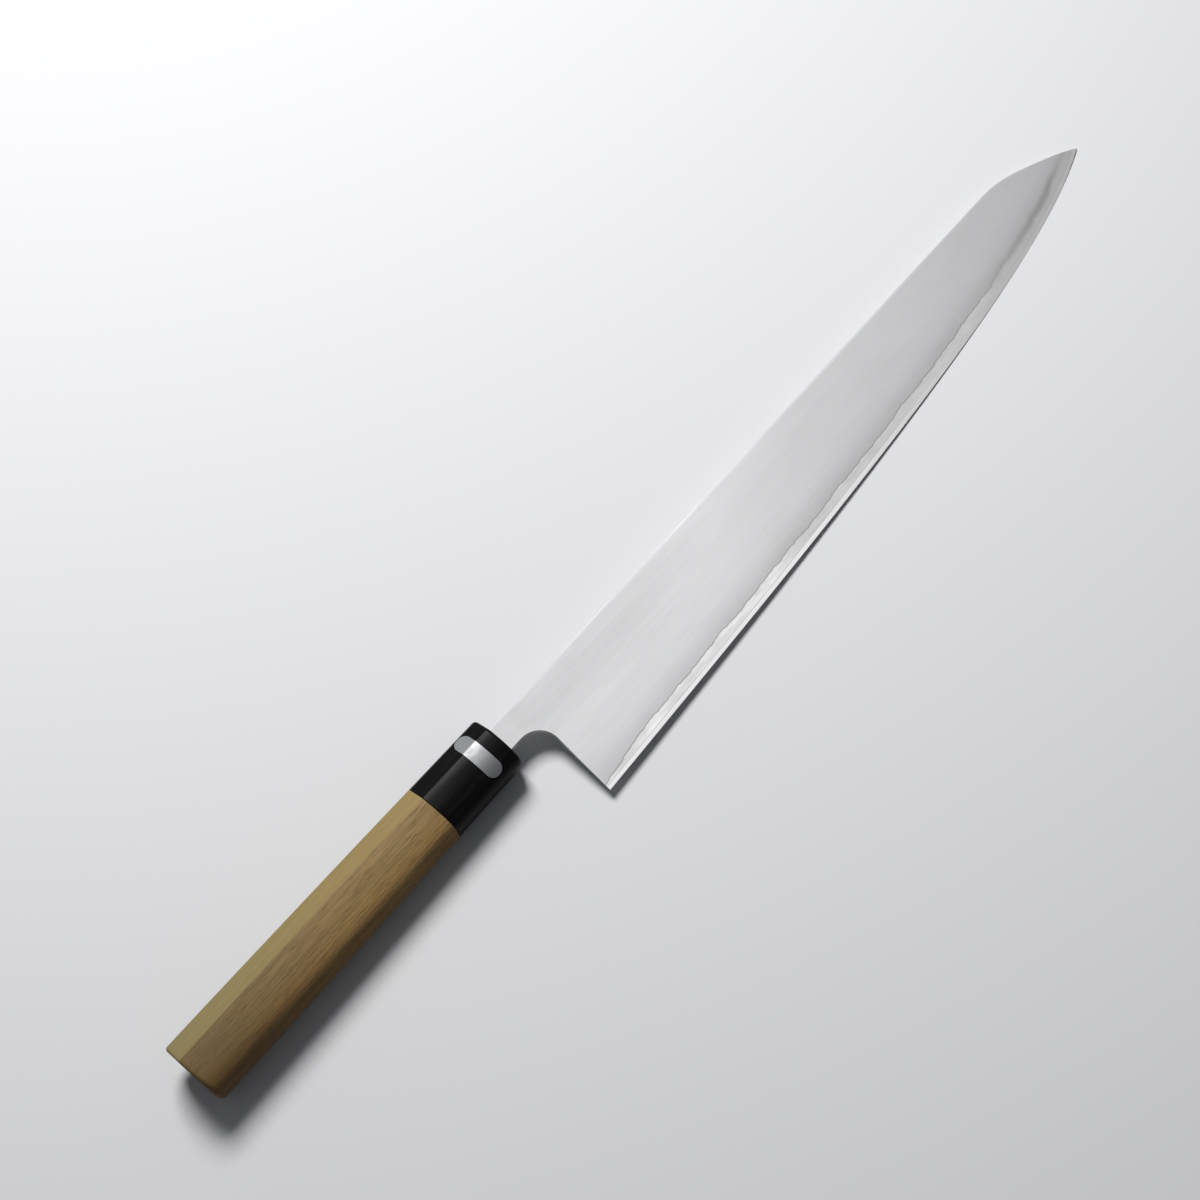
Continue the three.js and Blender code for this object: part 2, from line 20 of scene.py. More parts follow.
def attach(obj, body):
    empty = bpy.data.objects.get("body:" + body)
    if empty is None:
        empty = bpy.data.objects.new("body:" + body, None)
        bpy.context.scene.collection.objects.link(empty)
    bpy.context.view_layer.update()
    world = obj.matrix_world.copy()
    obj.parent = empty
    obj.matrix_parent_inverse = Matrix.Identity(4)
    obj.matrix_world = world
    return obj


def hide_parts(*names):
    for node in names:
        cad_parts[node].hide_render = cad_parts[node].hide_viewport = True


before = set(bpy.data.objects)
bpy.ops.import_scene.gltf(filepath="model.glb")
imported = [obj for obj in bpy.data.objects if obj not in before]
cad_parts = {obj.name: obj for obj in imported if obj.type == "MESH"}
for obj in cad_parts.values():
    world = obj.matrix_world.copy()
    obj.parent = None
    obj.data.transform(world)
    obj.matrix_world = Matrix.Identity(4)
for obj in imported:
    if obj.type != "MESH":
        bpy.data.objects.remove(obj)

Array = NDArray[np.float64]
Colour = tuple[float, float, float]
Point = tuple[float, float, float]
Range = tuple[float, float]
Material = bpy.types.Material
Mesh = bpy.types.Mesh
Node = bpy.types.Node
NodeTree = bpy.types.NodeTree
Socket = bpy.types.NodeSocket
Feed = Socket | float | tuple[float, ...]

MM = 0.001
BODY = "root"
WELD_DISTANCE = 0.001 * MM
NOISE_RANGE = (0.3, 0.7)
LOG = logging.getLogger("sujihiki")


class Side(Enum):
    """The two faces of the blade, by the sign of Z on the knife's own axes."""

    RIGHT = 1
    LEFT = -1


class Slot(Enum):
    """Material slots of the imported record."""

    CORE = "core_steel"
    CLADDING = "cladding_steel"
    HORN = "horn"
    WOOD = "magnolia_wood"
    SEAL = "seal_resin"
    BEDDING = "bedding_resin"
    FOIL = "foil"


class Trait(Enum):
    """Heights in millimetres that follow the coordinates of the blade's points, in this order."""

    ABOVE_EDGE = "above_edge"
    ABOVE_WELD = "above_weld"


def lerp(first: Array | float, last: Array | float, share: Array | float) -> Array:
    """The value at a share of the way from first to last."""
    return first + (last - first) * share


def strip(first: Array, second: Array) -> Array:
    """A grid of two columns between two rows of points."""
    return np.stack([first, second], axis=1)


@dataclass(frozen=True)
class Lie:
    """How the knife lies: rolled about its own length, then pitched, then set down at an origin."""

    roll: float = math.radians(7.2)
    pitch: float = math.radians(1.354364)
    origin: Point = (-82.00015 * MM, 13.198396 * MM, 9.013892 * MM)

    def turn(self) -> Array:
        """The rotation matrix: the pitch about Y after the roll about X."""
        roll = Matrix.Rotation(self.roll, 3, "X")
        pitch = Matrix.Rotation(self.pitch, 3, "Y")
        return np.array(pitch @ roll)

    def place(self, points: Array) -> Array:
        """Points on the knife's axes, as points of the frame."""
        return points @ self.turn().T + np.array(self.origin)


@dataclass
class Skin:
    """Grids of points that close into one mesh. A point has three coordinates, then values of its traits."""

    grids: list[Array] = field(default_factory=list)
    faces: list[Array] = field(default_factory=list)
    count: int = 0

    def add(self, grid: Array, turned: bool = False) -> None:
        """Adds the quads between the rows and columns of a grid.

        Args:
            grid: Array of rows, columns and values of a point. Faces look along rows cross columns.
            turned: Whether the faces look the other way.
        """
        rows, columns, width = grid.shape
        index = self.count + np.arange(rows * columns).reshape(rows, columns)
        corners = [index[:-1, :-1], index[1:, :-1], index[1:, 1:], index[:-1, 1:]]
        quads = np.stack(corners[::-1] if turned else corners, axis=-1).reshape(-1, 4)
        self.grids.append(grid.reshape(-1, width))
        self.faces.append(quads)
        self.count += rows * columns

    def add_slab(self, near: Array, far: Array, turned: bool = False) -> None:
        """Adds two grids back to back, and the rims between their last and between their first columns.

        Args:
            near: Grid whose faces look along rows cross columns.
            far: Grid of the same shape, whose faces look the other way.
            turned: Whether all faces look the other way.
        """
        self.add(near, turned)
        self.add(far, not turned)
        self.add(strip(near[:, -1], far[:, -1]), turned)
        self.add(strip(near[:, 0], far[:, 0]), not turned)

    def mesh(self, name: str, lie: Lie, crease: float) -> Mesh:
        """Lays the grids down and welds them.

        Args:
            name: Name of the mesh.
            lie: How the knife lies.
            crease: Angle in degrees from which an edge stays sharp.

        Returns:
            The welded mesh, shaded smooth between its sharp edges.
        """
        values = np.concatenate(self.grids)
        points = lie.place(values[:, :3])
        faces = np.concatenate(self.faces)
        mesh = bpy.data.meshes.new(name)
        mesh.vertices.add(len(points))
        mesh.vertices.foreach_set("co", points.ravel())
        mesh.loops.add(faces.size)
        mesh.loops.foreach_set("vertex_index", faces.ravel())
        mesh.polygons.add(len(faces))
        mesh.polygons.foreach_set("loop_start", np.arange(0, faces.size, 4))
        mesh.update(calc_edges=True)
        for trait, heights in zip(Trait, values[:, 3:].T.copy()):
            kept = mesh.attributes.new(trait.value, "FLOAT", "POINT")
            kept.data.foreach_set("value", heights)
        welded = bmesh.new()
        welded.from_mesh(mesh)
        bmesh.ops.remove_doubles(welded, verts=welded.verts, dist=WELD_DISTANCE)
        welded.to_mesh(mesh)
        welded.free()
        mesh.polygons.foreach_set("use_smooth", np.ones(len(mesh.polygons), dtype=bool))
        mesh.set_sharp_from_angle(angle=math.radians(crease))
        return mesh


def add_piece(mesh: Mesh, material: Material, node: str) -> None:
    """Puts a finished piece in the scene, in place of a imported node.

    Args:
        mesh: The piece's mesh, in the frame.
        material: Its finish.
        node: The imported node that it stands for.
    """
    piece = bpy.data.objects.new(mesh.name, mesh)
    bpy.context.scene.collection.objects.link(piece)
    mesh.materials.append(material)
    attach(piece, BODY)
    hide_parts(node)
    LOG.info("%s: %d faces for %s", piece.name, len(mesh.polygons), node)


def dress_node(node: str, material: Material) -> None:
    """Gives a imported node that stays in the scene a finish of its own."""
    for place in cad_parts[node].material_slots:
        place.material = material
        LOG.info("%s: dressed as packed", node)


@dataclass(frozen=True)
class Streaks:
    """Noise along the knife: its length and width, the range of it that shows, and its share there."""

    length: float
    width: float
    shown: Range = NOISE_RANGE
    share: float = 1.0


class Graph:
    """Adds and joins the nodes of one material or node group."""

    def __init__(self, tree: NodeTree) -> None:
        """Starts on a tree."""
        self.tree = tree

    def feed(self, socket: Socket, value: Feed) -> None:
        """Links a socket to a node's output, or sets it to a plain value."""
        if isinstance(value, Socket):
            self.tree.links.new(value, socket)
        else:
            socket.default_value = value

    def node(self, kind: str, inputs: dict[str | int, Feed] | None = None, **settings: object) -> Node:
        """Adds a node.

        Args:
            kind: Blender's name of the node.
            inputs: What its input sockets get, by name or number.
            settings: Its other properties.

        Returns:
            The node.
        """
        made = self.tree.nodes.new(kind)
        for name, value in settings.items():
            setattr(made, name, value)
        for key, value in (inputs or {}).items():
            self.feed(made.inputs[key], value)
        return made

    def math(self, operation: str, first: Feed, second: Feed = 0.0) -> Socket:
        """The result of one sum, product or the like."""
        return self.node("ShaderNodeMath", {0: first, 1: second}, operation=operation).outputs[0]

    def times(self, *factors: Feed) -> Socket:
        """The product of two or more factors."""
        product = factors[0]
        for factor in factors[1:]:
            product = self.math("MULTIPLY", product, factor)
        return product

    def remap(self, value: Feed, source: Range, target: Range = (0.0, 1.0)) -> Socket:
        """Carries a value smoothly from the source range to the target range, and holds it at the ends."""
        names = ("From Min", "From Max", "To Min", "To Max")
        inputs = {"Value": value, **dict(zip(names, (*source, *target)))}
        return self.node("ShaderNodeMapRange", inputs, interpolation_type="SMOOTHSTEP").outputs[0]

    def mix(self, share: Feed, first: Feed, second: Feed) -> Socket:
        """A colour at a share of the way from the first to the second."""
        first, second = [(*side, 1.0) if isinstance(side, tuple) else side for side in (first, second)]
        return self.node("ShaderNodeMix", {0: share, 6: first, 7: second}, data_type="RGBA").outputs[2]

    def blend(self, value: Feed, source: Range, first: Feed, second: Feed) -> Socket:
        """A colour that goes from the first to the second as a value crosses a range."""
        return self.mix(self.remap(value, source), first, second)

    def trait(self, trait: Trait) -> Socket:
        """A value that is kept at the piece's points."""
        return self.node("ShaderNodeAttribute", attribute_name=trait.value).outputs["Fac"]

    def axes(self, lie: Lie) -> Socket:
        """Object coordinates, turned back to the knife's own axes."""
        place = self.node("ShaderNodeTexCoord").outputs["Object"]
        inputs = {"Vector": place, "Location": lie.origin, "Rotation": (lie.roll, lie.pitch, 0.0)}
        return self.node("ShaderNodeMapping", inputs, vector_type="TEXTURE").outputs[0]

    def split(self, vector: Feed) -> tuple[Socket, Socket]:
        """A vector's parts along the knife and towards its spine."""
        parts = self.node("ShaderNodeSeparateXYZ", {0: vector}).outputs
        return parts[0], parts[1]

    def noise(self, vector: Feed, streaks: Streaks) -> Socket:
        """Noise from 0 to 1, drawn out along the knife's length."""
        inputs = {"Vector": vector, "Length": streaks.length, "Width": streaks.width}
        return self.node("ShaderNodeGroup", inputs, node_tree=streak_group()).outputs["Mask"]

    def shown(self, noise: Feed, streaks: Streaks) -> Socket:
        """Mask of the part of some noise that shows, from 0 to its share."""
        return self.remap(noise, streaks.shown, (0.0, streaks.share))

    def weld_shade(self, along: Feed) -> tuple[Socket, Socket]:
        """Masks of the dark line on the weld, and of the painted shade of a soft hollow around the weld near
        the tip.
        """
        inputs = {"Along": along, "Height": self.trait(Trait.ABOVE_WELD)}
        made = self.node("ShaderNodeGroup", inputs, node_tree=WELD_SHADE.group())
        return made.outputs["Line"], made.outputs["Hollow"]


def start_group(name: str, inputs: dict[str, str], outputs: tuple[str, ...]) -> Graph:
    """Starts a shader node group.

    Args:
        name: The group's name.
        inputs: Its inputs, each with the kind of its socket.
        outputs: Its outputs, all of them plain values.

    Returns:
        The graph of the new group.
    """
    tree = bpy.data.node_groups.new(name, "ShaderNodeTree")
    for label, kind in inputs.items():
        tree.interface.new_socket(label, in_out="INPUT", socket_type=f"NodeSocket{kind}")
    for label in outputs:
        tree.interface.new_socket(label, in_out="OUTPUT", socket_type="NodeSocketFloat")
    return Graph(tree)


def streak_group(octaves: float = 3.0, fall: float = 0.6) -> NodeTree:
    """The node group for noise that is drawn out along X, made on its first use.

    Coordinates are divided by the streaks' length along X and by their width along Y and Z, and some
    octaves of noise are read there.

    Args:
        octaves: How many octaves are added to the first.
        fall: Strength of each octave against the one before it.

    Returns:
        The group, with inputs Vector, Length and Width and the output Mask.
    """
    name = "streaks"
    if name in bpy.data.node_groups:
        return bpy.data.node_groups[name]
    graph = start_group(name, {"Vector": "Vector", "Length": "Float", "Width": "Float"}, ("Mask",))
    given = graph.node("NodeGroupInput").outputs
    sizes = {0: given["Length"], 1: given["Width"], 2: given["Width"]}
    size = graph.node("ShaderNodeCombineXYZ", sizes).outputs[0]
    scaled = graph.node("ShaderNodeVectorMath", {0: given["Vector"], 1: size}, operation="DIVIDE").outputs[0]
    inputs = {"Vector": scaled, "Scale": 1.0, "Detail": octaves, "Roughness": fall}
    graph.node("NodeGroupOutput", {"Mask": graph.node("ShaderNodeTexNoise", inputs).outputs[0]})
    return graph.tree


@dataclass(frozen=True)
class WeldShade:
    """The dark weld line and the painted shade of a hollow around it: places along the knife in metres,
    heights above the weld in millimetres.
    """

    line_reach: Range = (0.0, 0.34)
    line_share: float = 0.75
    line_end: Range = (225 * MM, 275 * MM)
    # Painted shade of a soft hollow around the weld near the tip.
    hollow_shade_above: Range = (0.0, 2.6)
    hollow_shade_below: Range = (-1.9, 0.0)
    hollow_shade_share: float = 0.5
    hollow_shade_start: Range = (235 * MM, 283 * MM)
    hollow_shade_end: Range = (288 * MM, 308 * MM)
    hollow_shade_at_point: float = 0.15

    def group(self) -> NodeTree:
        """The node group for the dark line and the painted shade, made on its first use.

        The line fades on both sides of the weld, and ends before the tip. The painted shade of the hollow
        reaches further up than down, deepens towards the clip and is nearly gone at the point.

        Returns:
            The group, with inputs Along in metres and Height in millimetres, and outputs for the line and for
            the painted shade of the hollow.
        """
        name = "weld_shade"
        if name in bpy.data.node_groups:
            return bpy.data.node_groups[name]
        graph = start_group(name, {"Along": "Float", "Height": "Float"}, ("Line", "Hollow"))
        given = graph.node("NodeGroupInput").outputs
        along, height = given["Along"], given["Height"]
        near = graph.remap(graph.math("ABSOLUTE", height), self.line_reach, (self.line_share, 0.0))
        line = graph.times(near, graph.remap(along, self.line_end, (1.0, 0.0)))
        # Painted shade of the hollow, above and below the weld.
        over = graph.remap(height, self.hollow_shade_above, (self.hollow_shade_share, 0.0))
        under = graph.remap(height, self.hollow_shade_below)
        deeper = graph.remap(along, self.hollow_shade_start)
        ended = graph.remap(along, self.hollow_shade_end, (1.0, self.hollow_shade_at_point))
        graph.node("NodeGroupOutput", {"Line": line, "Hollow": graph.times(over, under, deeper, ended)})
        return graph.tree


WELD_SHADE = WeldShade()


@dataclass(frozen=True)
class Finish:
    """A finish that is the same all over: the plain values of its shader."""

    name: str
    colour: Colour
    roughness: float
    metallic: float = 0.0
    index: float = 1.5

    def shader(self) -> tuple[Material, Graph, Node]:
        """Starts the finish's material.

        Returns:
            The material, its graph and its Principled shader with the plain values set.
        """
        material = bpy.data.materials.new(self.name)
        material.use_nodes = True
        material.node_tree.nodes.clear()
        graph = Graph(material.node_tree)
        plain = {"Base Color": (*self.colour, 1.0), "Roughness": self.roughness, "IOR": self.index}
        shader = graph.node("ShaderNodeBsdfPrincipled", {**plain, "Metallic": self.metallic})
        graph.node("ShaderNodeOutputMaterial", {"Surface": shader.outputs[0]})
        return material, graph, shader


@dataclass(frozen=True)
class Surface:
    """What varies over a surface: colour, the noise that spreads its roughness, and height from 0 to 1."""

    colour: Socket
    noise: Socket
    height: Socket


@dataclass(frozen=True)
class PatternFinish(Finish):
    """A finish with a pattern along the knife's axes, a spread of roughness and a depth of relief."""

    spread: Range = (-0.05, 0.05)
    depth: float = 0.002 * MM

    def surface(self, graph: Graph, axes: Socket) -> Surface:
        """The pattern, which each kind of finish draws in its own way.

        Args:
            graph: The graph of the material.
            axes: Coordinates on the knife's axes.

        Returns:
            What varies over the surface.
        """
        raise NotImplementedError

    def material(self, lie: Lie) -> Material:
        """Builds the material for a knife that lies so."""
        material, graph, shader = self.shader()
        surface = self.surface(graph, graph.axes(lie))
        low, high = self.spread
        rough = graph.remap(surface.noise, NOISE_RANGE, (self.roughness + low, self.roughness + high))
        relief = {"Height": surface.height, "Strength": 1.0, "Distance": self.depth}
        bump = graph.node("ShaderNodeBump", relief)
        graph.feed(shader.inputs["Base Color"], surface.colour)
        graph.feed(shader.inputs["Roughness"], rough)
        graph.feed(shader.inputs["Normal"], bump.outputs[0])
        return material


@dataclass(frozen=True)
class CladdingFinish(PatternFinish):
    """Satin steel with painted light that makes it lighter towards the heel, painted shade on the neck and
    under the spine near the heel, and a soft dark band above the weld line that is partly haze and partly
    painted shade.
    """

    spread: Range = (-0.04, 0.05)
    # Painted light: the steel is lighter towards the heel.
    heel_light_colour: Colour = (0.63, 0.63, 0.635)
    heel_reach: Range = (95 * MM, 165 * MM)
    # Painted shade: the neck, and the face under the spine near the heel, are darker.
    neck_shade_colour: Colour = (0.49, 0.49, 0.495)
    neck_shade_reach: Range = (4 * MM, 30 * MM)
    spine_shade_share: float = 0.55
    spine_shade_width: Range = (-18 * MM, 0.0)
    spine_shade_reach: Range = (30 * MM, 145 * MM)
    # The dark tone of the clouds and brush marks, and of the band above the weld line, which is partly the
    # steel's haze and partly painted shade that grows towards the tip.
    haze_and_shade: Colour = (0.36, 0.36, 0.36)
    haze_and_shade_height: float = 7.5
    haze_and_shade_share: float = 0.25
    haze_and_shade_reach: Range = (30 * MM, 110 * MM)
    haze_and_shade_growth: Range = (0.4, 1.1)
    haze_and_shade_spread: Range = (0.8, 1.15)
    # Painted shade of a hollow around the weld near the tip.
    hollow: Colour = (0.24, 0.24, 0.235)
    line: Colour = (0.2, 0.2, 0.2)
    cloud: Streaks = Streaks(45 * MM, 15 * MM, (0.25, 0.75), 0.12)
    hair: Streaks = Streaks(40 * MM, 0.16 * MM, share=0.05)

    def surface(self, graph: Graph, axes: Socket) -> Surface:
        """Brushed and clouded steel with painted light towards the heel and painted shade on the neck and
        under the spine, then a band that is partly haze and partly painted shade, the dark weld line and the
        painted shade of a hollow near the tip.
        """
        height = graph.trait(Trait.ABOVE_WELD)
        along, to_spine = graph.split(axes)
        cloud, hair = graph.noise(axes, self.cloud), graph.noise(axes, self.hair)
        # Painted light: lighter towards the heel.
        steel = graph.blend(along, self.heel_reach, self.heel_light_colour, self.colour)
        # Painted shade on the neck and under the spine towards the heel.
        at_neck = graph.remap(along, self.neck_shade_reach, (1.0, 0.0))
        near_heel = graph.remap(along, self.spine_shade_reach, (self.spine_shade_share, 0.0))
        to_heel = graph.math("MAXIMUM", at_neck, near_heel)
        spine_shade = graph.times(to_heel, graph.remap(to_spine, self.spine_shade_width))
        neck_shaded = graph.mix(spine_shade, steel, self.neck_shade_colour)
        mottled = graph.mix(graph.shown(cloud, self.cloud), neck_shaded, self.haze_and_shade)
        brushed = graph.mix(graph.shown(hair, self.hair), mottled, self.haze_and_shade)
        # The band above the weld line: partly haze, partly painted shade, stronger towards the tip.
        near = graph.remap(height, (0.0, self.haze_and_shade_height), (self.haze_and_shade_share, 0.0))
        uneven = graph.remap(cloud, NOISE_RANGE, self.haze_and_shade_spread)
        stronger = graph.remap(along, self.haze_and_shade_reach, self.haze_and_shade_growth)
        hazed_and_shaded = graph.mix(graph.times(near, uneven, stronger), brushed, self.haze_and_shade)
        line, hollow = graph.weld_shade(along)
        hollow_shaded = graph.mix(hollow, hazed_and_shaded, self.hollow)
        return Surface(graph.mix(line, hollow_shaded, self.line), hair, hair)


@dataclass(frozen=True)
class CoreFinish(PatternFinish):
    """Ground steel with painted light that makes it bright towards the heel and painted shade that darkens it
    and its bevel towards the tip, and a thin line where the sharpened bevel starts near the heel.
    """

    spread: Range = (-0.05, 0.06)
    # Painted light and shade: the core dims from its own colour at the heel to this colour, then darker still
    # at the tip.
    middle_colour: Colour = (0.67, 0.665, 0.665)
    tip_shade_colour: Colour = (0.54, 0.53, 0.53)
    bevel: Colour = (0.97, 0.97, 0.97)
    # Painted shade: the bevel dims towards the tip.
    tip_bevel_shade: Colour = (0.7, 0.69, 0.69)
    bevel_height: float = 1.5
    bevel_top: Range = (1.4, 1.55)
    bevel_reach: Range = (125 * MM, 255 * MM)
    line: Colour = (0.4, 0.4, 0.4)
    line_height: float = 0.2
    line_share: float = 0.6
    weld_line: Colour = (0.3, 0.3, 0.3)
    # Painted shade of a hollow around the weld near the tip.
    hollow: Colour = (0.24, 0.24, 0.235)
    dull: Colour = (0.5, 0.495, 0.49)
    heel_reach: Range = (105 * MM, 135 * MM)
    middle_reach: Range = (225 * MM, 278 * MM)
    cloud: Streaks = Streaks(16 * MM, 4 * MM, (0.35, 0.65), 0.36)
    hair: Streaks = Streaks(25 * MM, 0.2 * MM, (0.4, 0.7), 0.38)

    def surface(self, graph: Graph, axes: Socket) -> Surface:
        """Scratched and clouded steel with painted light at the heel and painted shade at the tip, then the
        bevel with its line, the dark weld line and the painted shade of a hollow near the tip.
        """
        edge = graph.trait(Trait.ABOVE_EDGE)
        along, _ = graph.split(axes)
        cloud, hair = graph.noise(axes, self.cloud), graph.noise(axes, self.hair)
        # Painted light and shade: bright at the heel, darker towards the middle and the tip.
        past_heel = graph.remap(along, self.heel_reach)
        to_middle = graph.mix(past_heel, self.colour, self.middle_colour)
        steel = graph.blend(along, self.middle_reach, to_middle, self.tip_shade_colour)
        uneven = graph.mix(graph.shown(cloud, self.cloud), steel, self.dull)
        scratched = graph.mix(graph.shown(hair, self.hair), uneven, self.dull)
        # Painted shade: the bevel dims towards the tip.
        bevel = graph.blend(along, self.bevel_reach, self.bevel, self.tip_bevel_shade)
        sharpened = graph.mix(graph.remap(edge, self.bevel_top, (1.0, 0.0)), scratched, bevel)
        off_line = graph.math("ABSOLUTE", graph.math("SUBTRACT", edge, self.bevel_height))
        near_line = graph.remap(off_line, (0.0, self.line_height), (self.line_share, 0.0))
        on_line = graph.times(near_line, graph.math("SUBTRACT", 1.0, past_heel))
        lined = graph.mix(on_line, sharpened, self.line)
        line, hollow = graph.weld_shade(along)
        hollow_shaded = graph.mix(hollow, lined, self.hollow)
        return Surface(graph.mix(line, hollow_shaded, self.weld_line), hair, hair)


@dataclass(frozen=True)
class WoodFinish(PatternFinish):
    """Bare magnolia: pale sapwood on the spine side, tan heartwood with dark pores on the rest.

    The heartwood has painted light on the edge side, which makes it lighter and redder there, and all of the
    wood has painted shade that makes it darker towards the butt.
    """

    spread: Range = (-0.08, 0.06)
    depth: float = 0.04 * MM
    # Painted shade: all of the wood is darker towards the butt.
    butt_shade_colour: Colour = (0.186, 0.123, 0.0435)
    # Painted light: the edge side, which lies in shade, is lighter and redder.
    edge_light_colour: Colour = (0.45, 0.27, 0.097)
    # Painted light on the edge side, and painted shade towards the butt.
    butt_edge_colour: Colour = (0.225, 0.13, 0.044)
    edge_reach: Range = (-2 * MM, -8 * MM)
    sapwood: Colour = (0.325, 0.234, 0.089)
    butt_sapwood_shade: Colour = (0.262, 0.212, 0.088)
    butt_shade_reach: Range = (-60 * MM, -150 * MM)
    sap_reach: Range = (4.1 * MM, 4.9 * MM)
    sap_figure: float = 0.3
    dark: Colour = (0.15, 0.09, 0.033)
    pore: Colour = (0.105, 0.056, 0.022)
    band: Streaks = Streaks(260 * MM, 3.2 * MM, (0.4, 0.75), 0.3)
    grain: Streaks = Streaks(24 * MM, 0.42 * MM, (0.38, 0.7), 0.64)
    pores: Streaks = Streaks(6 * MM, 0.26 * MM, (0.52, 0.68), 0.66)

    def surface(self, graph: Graph, axes: Socket) -> Surface:
        """Heartwood with painted light on its edge side, and sapwood, both with painted shade towards the
        butt, then broad bands, grain and open pores, which are fainter in the sapwood.
        """
        along, to_spine = graph.split(axes)
        sap = graph.remap(to_spine, self.sap_reach)
        # Painted shade towards the butt.
        to_butt = graph.remap(along, self.butt_shade_reach)
        tan = graph.mix(to_butt, self.colour, self.butt_shade_colour)
        # Painted light on the edge side.
        edge_side = graph.mix(to_butt, self.edge_light_colour, self.butt_edge_colour)
        heartwood = graph.blend(to_spine, self.edge_reach, tan, edge_side)
        wood = graph.mix(sap, heartwood, graph.mix(to_butt, self.sapwood, self.butt_sapwood_shade))
        figure = graph.remap(sap, (0.0, 1.0), (1.0, self.sap_figure))
        grain = graph.noise(axes, self.grain)
        in_band = graph.times(graph.shown(graph.noise(axes, self.band), self.band), figure)
        in_grain = graph.times(graph.shown(grain, self.grain), figure)
        in_pore = graph.times(graph.shown(graph.noise(axes, self.pores), self.pores), figure)
        grained = graph.mix(in_grain, graph.mix(in_band, wood, self.dark), self.dark)
        return Surface(graph.mix(in_pore, grained, self.pore), grain, graph.math("SUBTRACT", 1.0, in_pore))


@dataclass(frozen=True)
class HornFinish(PatternFinish):
    """Black horn with a satin polish, faint grey streaks and the marks of fine sanding."""

    spread: Range = (-0.03, 0.05)
    depth: float = 0.0003 * MM
    streak: Colour = (0.011, 0.0105, 0.01)
    veins: Streaks = Streaks(24 * MM, 2.2 * MM, (0.45, 0.75))
    marks: Streaks = Streaks(12 * MM, 0.12 * MM)

    def surface(self, graph: Graph, axes: Socket) -> Surface:
        """Streaked horn with fine marks along it."""
        in_vein = graph.shown(graph.noise(axes, self.veins), self.veins)
        marks = graph.noise(axes, self.marks)
        return Surface(graph.mix(in_vein, self.colour, self.streak), marks, marks)


@dataclass(frozen=True)
class MottledFinish(PatternFinish):
    """A surface with a fine grain of two shades: bare foil, resin or adhesive."""

    depth: float = 0.004 * MM
    shade: Colour = (0.3, 0.3, 0.3)
    grains: Streaks = Streaks(0.4 * MM, 0.4 * MM)
    patches: Streaks = Streaks(4.8 * MM, 2.4 * MM, (0.35, 0.68))

    def surface(self, graph: Graph, axes: Socket) -> Surface:
        """Two shades in fine grains and broad patches."""
        fine, broad = graph.noise(axes, self.grains), graph.noise(axes, self.patches)
        mean = graph.times(graph.math("ADD", fine, broad), 0.5)
        return Surface(graph.mix(graph.shown(mean, self.patches), self.colour, self.shade), broad, fine)


CLADDING = CladdingFinish("satin_cladding", (0.565, 0.565, 0.57), 0.6, metallic=1.0)
CORE = CoreFinish("ground_core", (0.9, 0.9, 0.9), 0.6, metallic=1.0)
WOOD = WoodFinish("bare_magnolia", (0.32, 0.205, 0.077), 0.7, index=1.4)
HORN = HornFinish("polished_horn", (0.0044, 0.0044, 0.0046), 0.36, index=1.17)
FOIL = MottledFinish("bare_foil", (0.315, 0.32, 0.33), 0.46, metallic=0.57, shade=(0.26, 0.265, 0.275))
SEAL = MottledFinish("dark_seal", (0.012, 0.011, 0.01), 0.5, shade=(0.02, 0.018, 0.016))
BEDDING = MottledFinish("adhesive_bed", (0.3, 0.24, 0.15), 0.7, shade=(0.22, 0.17, 0.1))
FLOOR = Finish("floor_paper", (0.76, 0.76, 0.768), 0.9, index=1.0)


